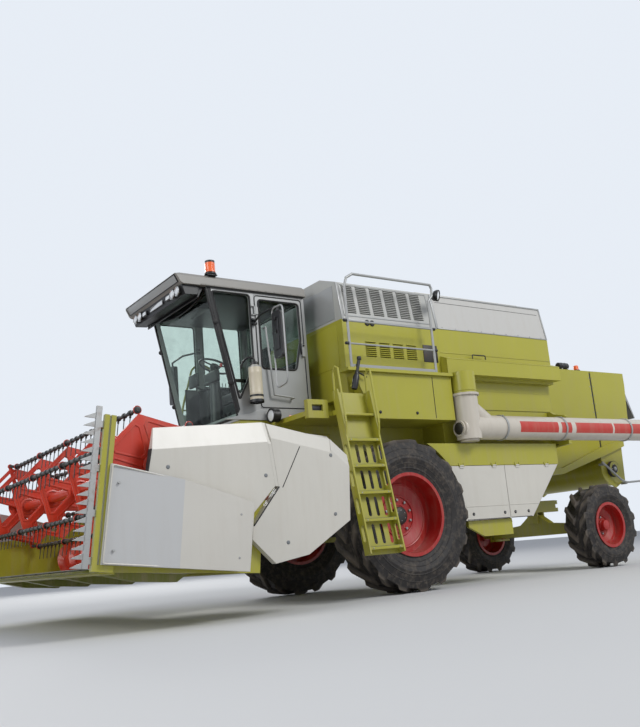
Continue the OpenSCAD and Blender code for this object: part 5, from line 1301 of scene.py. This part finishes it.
axlePlan = {
    "seal": [(0.1505, 0.0), (0.166, 0.002), (0.172, 0.010), (0.166, 0.020), (0.1505, 0.024)],
    "pinCap": [(0.031, 0.0), (0.046, 0.002), (0.046, 0.012), (0.036, 0.020), (0.0, 0.022)],
    "pinEnds": ((-3.806, ahead), (-3.934, (-1, 0, 0))),
}


def makeAxleParts():
    piece = bmesh.new()
    final = (frontWheel["x"], 0.985, frontWheel["radius"])
    boltRing(piece, 1, final, 0.205, 12, left, 0.012, 0.010, 0.5, both=True)
    put(piece, 0, turned(axlePlan["seal"], final, left, 36), both=True)
    put(piece, 1, bolt((0.0, 0.988, 1.10), left, 0.018, 0.014), both=True)
    # Caps of the rear axle's pivot pin
    put(piece, 0, *(turned(axlePlan["pinCap"], (x, 0, 0.78), along) for x, along in axlePlan["pinEnds"]))
    finishPiece(piece, "axle_parts", "chassis", ["limePaint", "bareSteel"])


# Header: drawn in its own tilted frame, forward, across and up

reelPlan = {
    "centre": (0.900, 0.940), "radius": 0.545, "phase": 8.0, "bars": 6,
    "spiders": (-2.05, -1.025, 0.0, 1.025, 2.05),
    "springs": (26, -1.99, 0.155),
    "spiderWidth": 0.045,
    "coil": [(0.0185, -0.020), (0.028, -0.016), (0.028, -0.009), (0.023, -0.006), (0.028, -0.003),
             (0.028, 0.003), (0.023, 0.006), (0.028, 0.009), (0.028, 0.016), (0.0185, 0.020)],
    "bearing": [(0.0195, -0.015), (0.034, -0.013), (0.036, -0.0055), (0.036, 0.0055), (0.034, 0.013),
                (0.0195, 0.015)],
    "flange": [(0.088, 0.0), (0.106, 0.003), (0.106, 0.012), (0.088, 0.016)],
    "armCap": [(0.0, 0.030), (0.022, 0.029), (0.034, 0.022), (0.050, 0.016), (0.053, 0.0)],
    "armBolts": ((0.845, 0.905), (0.845, 0.975)),
}


def barPlace(i):
    angle = math.radians(reelPlan["phase"] + i * 360 / reelPlan["bars"])
    u, w = reelPlan["centre"]
    return u + reelPlan["radius"] * math.cos(angle), w + reelPlan["radius"] * math.sin(angle)


def makeTineSprings():
    count, first, pitch = reelPlan["springs"]
    places = [first + k * pitch for k in range(count)]
    for i in range(reelPlan["bars"]):
        piece = bmesh.new()
        u, w = barPlace(i)
        for y in places:
            if min(abs(y - spider) for spider in reelPlan["spiders"]) > reelPlan["spiderWidth"]:
                put(piece, 0, turned(reelPlan["coil"], (u, y, w), left, 8))
                put(piece, 1, block((u - 0.009, y - 0.010, w - 0.050), (u + 0.009, y + 0.010, w - 0.016),
                                    0.003, 1))
        finishPiece(piece, "tine_springs_%d" % (i + 1), "tine_bar_%d" % (i + 1),
                    ["blackPaint", "darkMetal"], headerFrame)


def makeReelBearings():
    piece = bmesh.new()
    u, w = reelPlan["centre"]
    for i in range(reelPlan["bars"]):
        barU, barW = barPlace(i)
        put(piece, 0, *(turned(reelPlan["bearing"], (barU, y, barW), left, 12) for y in reelPlan["spiders"]))
    put(piece, 1, *(turned(reelPlan["flange"], (u, y + side * 0.005, w), (0, side, 0), 28)
                    for y in reelPlan["spiders"] for side in (1, -1)))
    finishPiece(piece, "reel_bearings", "reel", ["blackPlastic", "redPaint"], headerFrame)
    piece = bmesh.new()
    put(piece, 0, turned(reelPlan["armCap"], (u, 2.156, w), left), both=True)
    put(piece, 1, *(bolt((u, 2.156, w), left, 0.010, 0.010) for u, w in reelPlan["armBolts"]), both=True)
    finishPiece(piece, "arm_bearings", "reel_arms", ["blackPlastic", "bareSteel"],
                headerFrame)


knifePlan = {
    "blades": (57, -2.1336, 0.0762),
    "blade": [(1.470, -0.034), (1.470, 0.034), (1.538, 0.008), (1.538, -0.008)],
    "rivet": [(0.0, 0.004), (0.005, 0.003), (0.007, 0.0)],
    "clamps": (10, -1.98, 0.44),
}


def makeKnifeParts():
    piece = bmesh.new()
    count, first, pitch = knifePlan["blades"]
    for y in (first + k * pitch for k in range(count)):
        # A blade is a thin wedge between two guards
        put(piece, 0, extruded([(u, y + across, -0.0345) for u, across in knifePlan["blade"]], (0, 0, 0.003)))
        put(piece, 1, turned(knifePlan["rivet"], (1.482, y, -0.0320), steps=6))
    put(piece, 0, block((1.455, -2.17, -0.0375), (1.475, 2.17, -0.0310), 0.002, 1))
    count, first, pitch = knifePlan["clamps"]
    for y in (first + k * pitch for k in range(count)):
        put(piece, 1, block((1.425, y - 0.02, -0.038), (1.490, y + 0.02, -0.026)))
    finishPiece(piece, "knife", "header", ["bareSteel", "darkMetal"], headerFrame)


coverPlan = {
    "face": 2.290,
    "gap": ((-0.290, 0.835), (-0.194, 1.246), (-0.142, 1.466)), "gapWidth": -0.040,
    "foldHeight": 1.4, "fold": 0.058,
    # line of the dark strip that paints the shadow in the seam between the covers
    "seamShadow": ((-0.372, 0.830), (-0.560, 1.266)),
    "rear": ((-0.060, 0.430), (-0.330, 0.835)),
    "front": ((1.027, 1.050), (1.060, 0.640)),
    "latches": ((0.86, 0.90), (-0.18, 0.93), (-0.46, 0.30), (-1.02, 0.62), (-0.95, 1.22)),
    "latch": [(0, 0.008), (0.014, 0.007), (0.019, 0.003), (0.020, -0.002)],
    "panel": [(-0.010, 0.640), (0.008, 0.010), (1.422, 0.010), (1.408, 0.854), (0.720, 0.778)],
    "panelBolts": ((0.12, 0.12), (0.12, 0.52), (0.66, 0.12), (1.34, 0.12), (1.34, 0.70)),
}


# A straight strip of a given width beside the line from a to b
def strip(a, b, width, y0, y1):
    return sideSheet([a, b, (b[0] + width, b[1]), (a[0] + width, a[1])], y0, y1, 0.001)


# The drive covers are on the left end alone, and a divider panel on each
def makeHeaderTrim():
    piece = bmesh.new()
    face = coverPlan["face"]
    # Joint plate between the two covers, folded back at the top as they are
    foot, bend, top = coverPlan["gap"]
    plate = strip(bend, top, coverPlan["gapWidth"], face - 0.085, face - 0.0015)
    for vert in plate.verts:
        if vert.co.z > coverPlan["foldHeight"] and vert.co.y > face - 0.04:
            vert.co.y -= coverPlan["fold"]
    put(piece, 0, strip(foot, bend, coverPlan["gapWidth"], face - 0.085, face - 0.0015), plate)
    # Dark strip along the seam between the covers, painted shadow of the gap there; then the black edges
    put(piece, 1, strip(*coverPlan["seamShadow"], -0.011, face - 0.001, face + 0.0012),
        strip(*coverPlan["rear"], -0.016, face - 0.001, face + 0.003),
        strip(*coverPlan["front"], 0.012, face - 0.06, face + 0.002))
    put(piece, 2, *(turned(coverPlan["latch"], (u, face, w), left, 18) for u, w in coverPlan["latches"]))
    # Rolled edge of the divider panels and the bolts that hold them
    edge = [(u, 2.366, w) for u, w in coverPlan["panel"]]
    put(piece, 0, pipe(edge, 0.0075, 8, 0.02, closed=True), both=True)
    put(piece, 3, *(bolt((u, 2.352, w), left, 0.012, 0.026) for u, w in coverPlan["panelBolts"]), both=True)
    finishPiece(piece, "header_trim", "header",
                ["whitePaint", "blackRubber", "darkSilver", "bareSteel"], headerFrame)


drivePlan = {
    "y": 2.228,
    "sprockets": ((-0.13, 0.735, 0.055), (0.10, 0.700, 0.075)),
    "teeth": 14,
    "chain": (((-0.13, 0.793), (0.10, 0.778)), ((-0.13, 0.677), (0.10, 0.622))),
}


# Chain and sprockets of the auger drive, in the opening between the covers
def makeHeaderDrive():
    piece = bmesh.new()
    y = drivePlan["y"]
    for u, w, r in drivePlan["sprockets"]:
        profile = [(0, 0.012), (0.018, 0.012), (0.022, 0.004), (r * 0.8, 0.004), (r, 0.0), (r, -0.004)]
        put(piece, 0, turned(profile, (u, y, w), left, 18))
        for a in (k * math.tau / drivePlan["teeth"] for k in range(drivePlan["teeth"])):
            x, z = u + r * math.cos(a), w + r * math.sin(a)
            low, high = (x - 0.006, y - 0.004, z - 0.006), (x + 0.006, y + 0.002, z + 0.006)
            put(piece, 0, block(low, high, 0.002, 1))
    put(piece, 1, *(pipe([(u, y - 0.001, w) for u, w in run], 0.006, 6) for run in drivePlan["chain"]),
        block((-0.26, 2.210, 0.70), (-0.21, 2.222, 0.79)))
    finishPiece(piece, "auger_drive", "header", ["darkMetal", "rustyRed"], headerFrame)


makeCamera()
makeLight()
makeFloor()
bpy.context.scene.view_settings.view_transform = "Standard"
makeFinishes()
paintNodes()
print("camera, light, floor and finishes done")
makeCabSeals()
makeCabRoofTrim()
makeLenses()
makeMirrors()
makeCanister()
makeFarHandrail()
makeCabInside()
print("cab done")
makeSeat()
print("seat done")
makeLouvres()
makeHousingTrim()
makeTankTrim()
makeDeckGear()
print("upper housing done")
makeDoorTrim()
makeHoodTrim()
makeChopperDrive()
makeTubeGear()
makeLadderGrip()
print("body and hood done")
makeWheelParts()
makeAxleParts()
print("wheels and axles done")
makeTineSprings()
makeReelBearings()
makeKnifeParts()
makeHeaderTrim()
makeHeaderDrive()
print("header done")
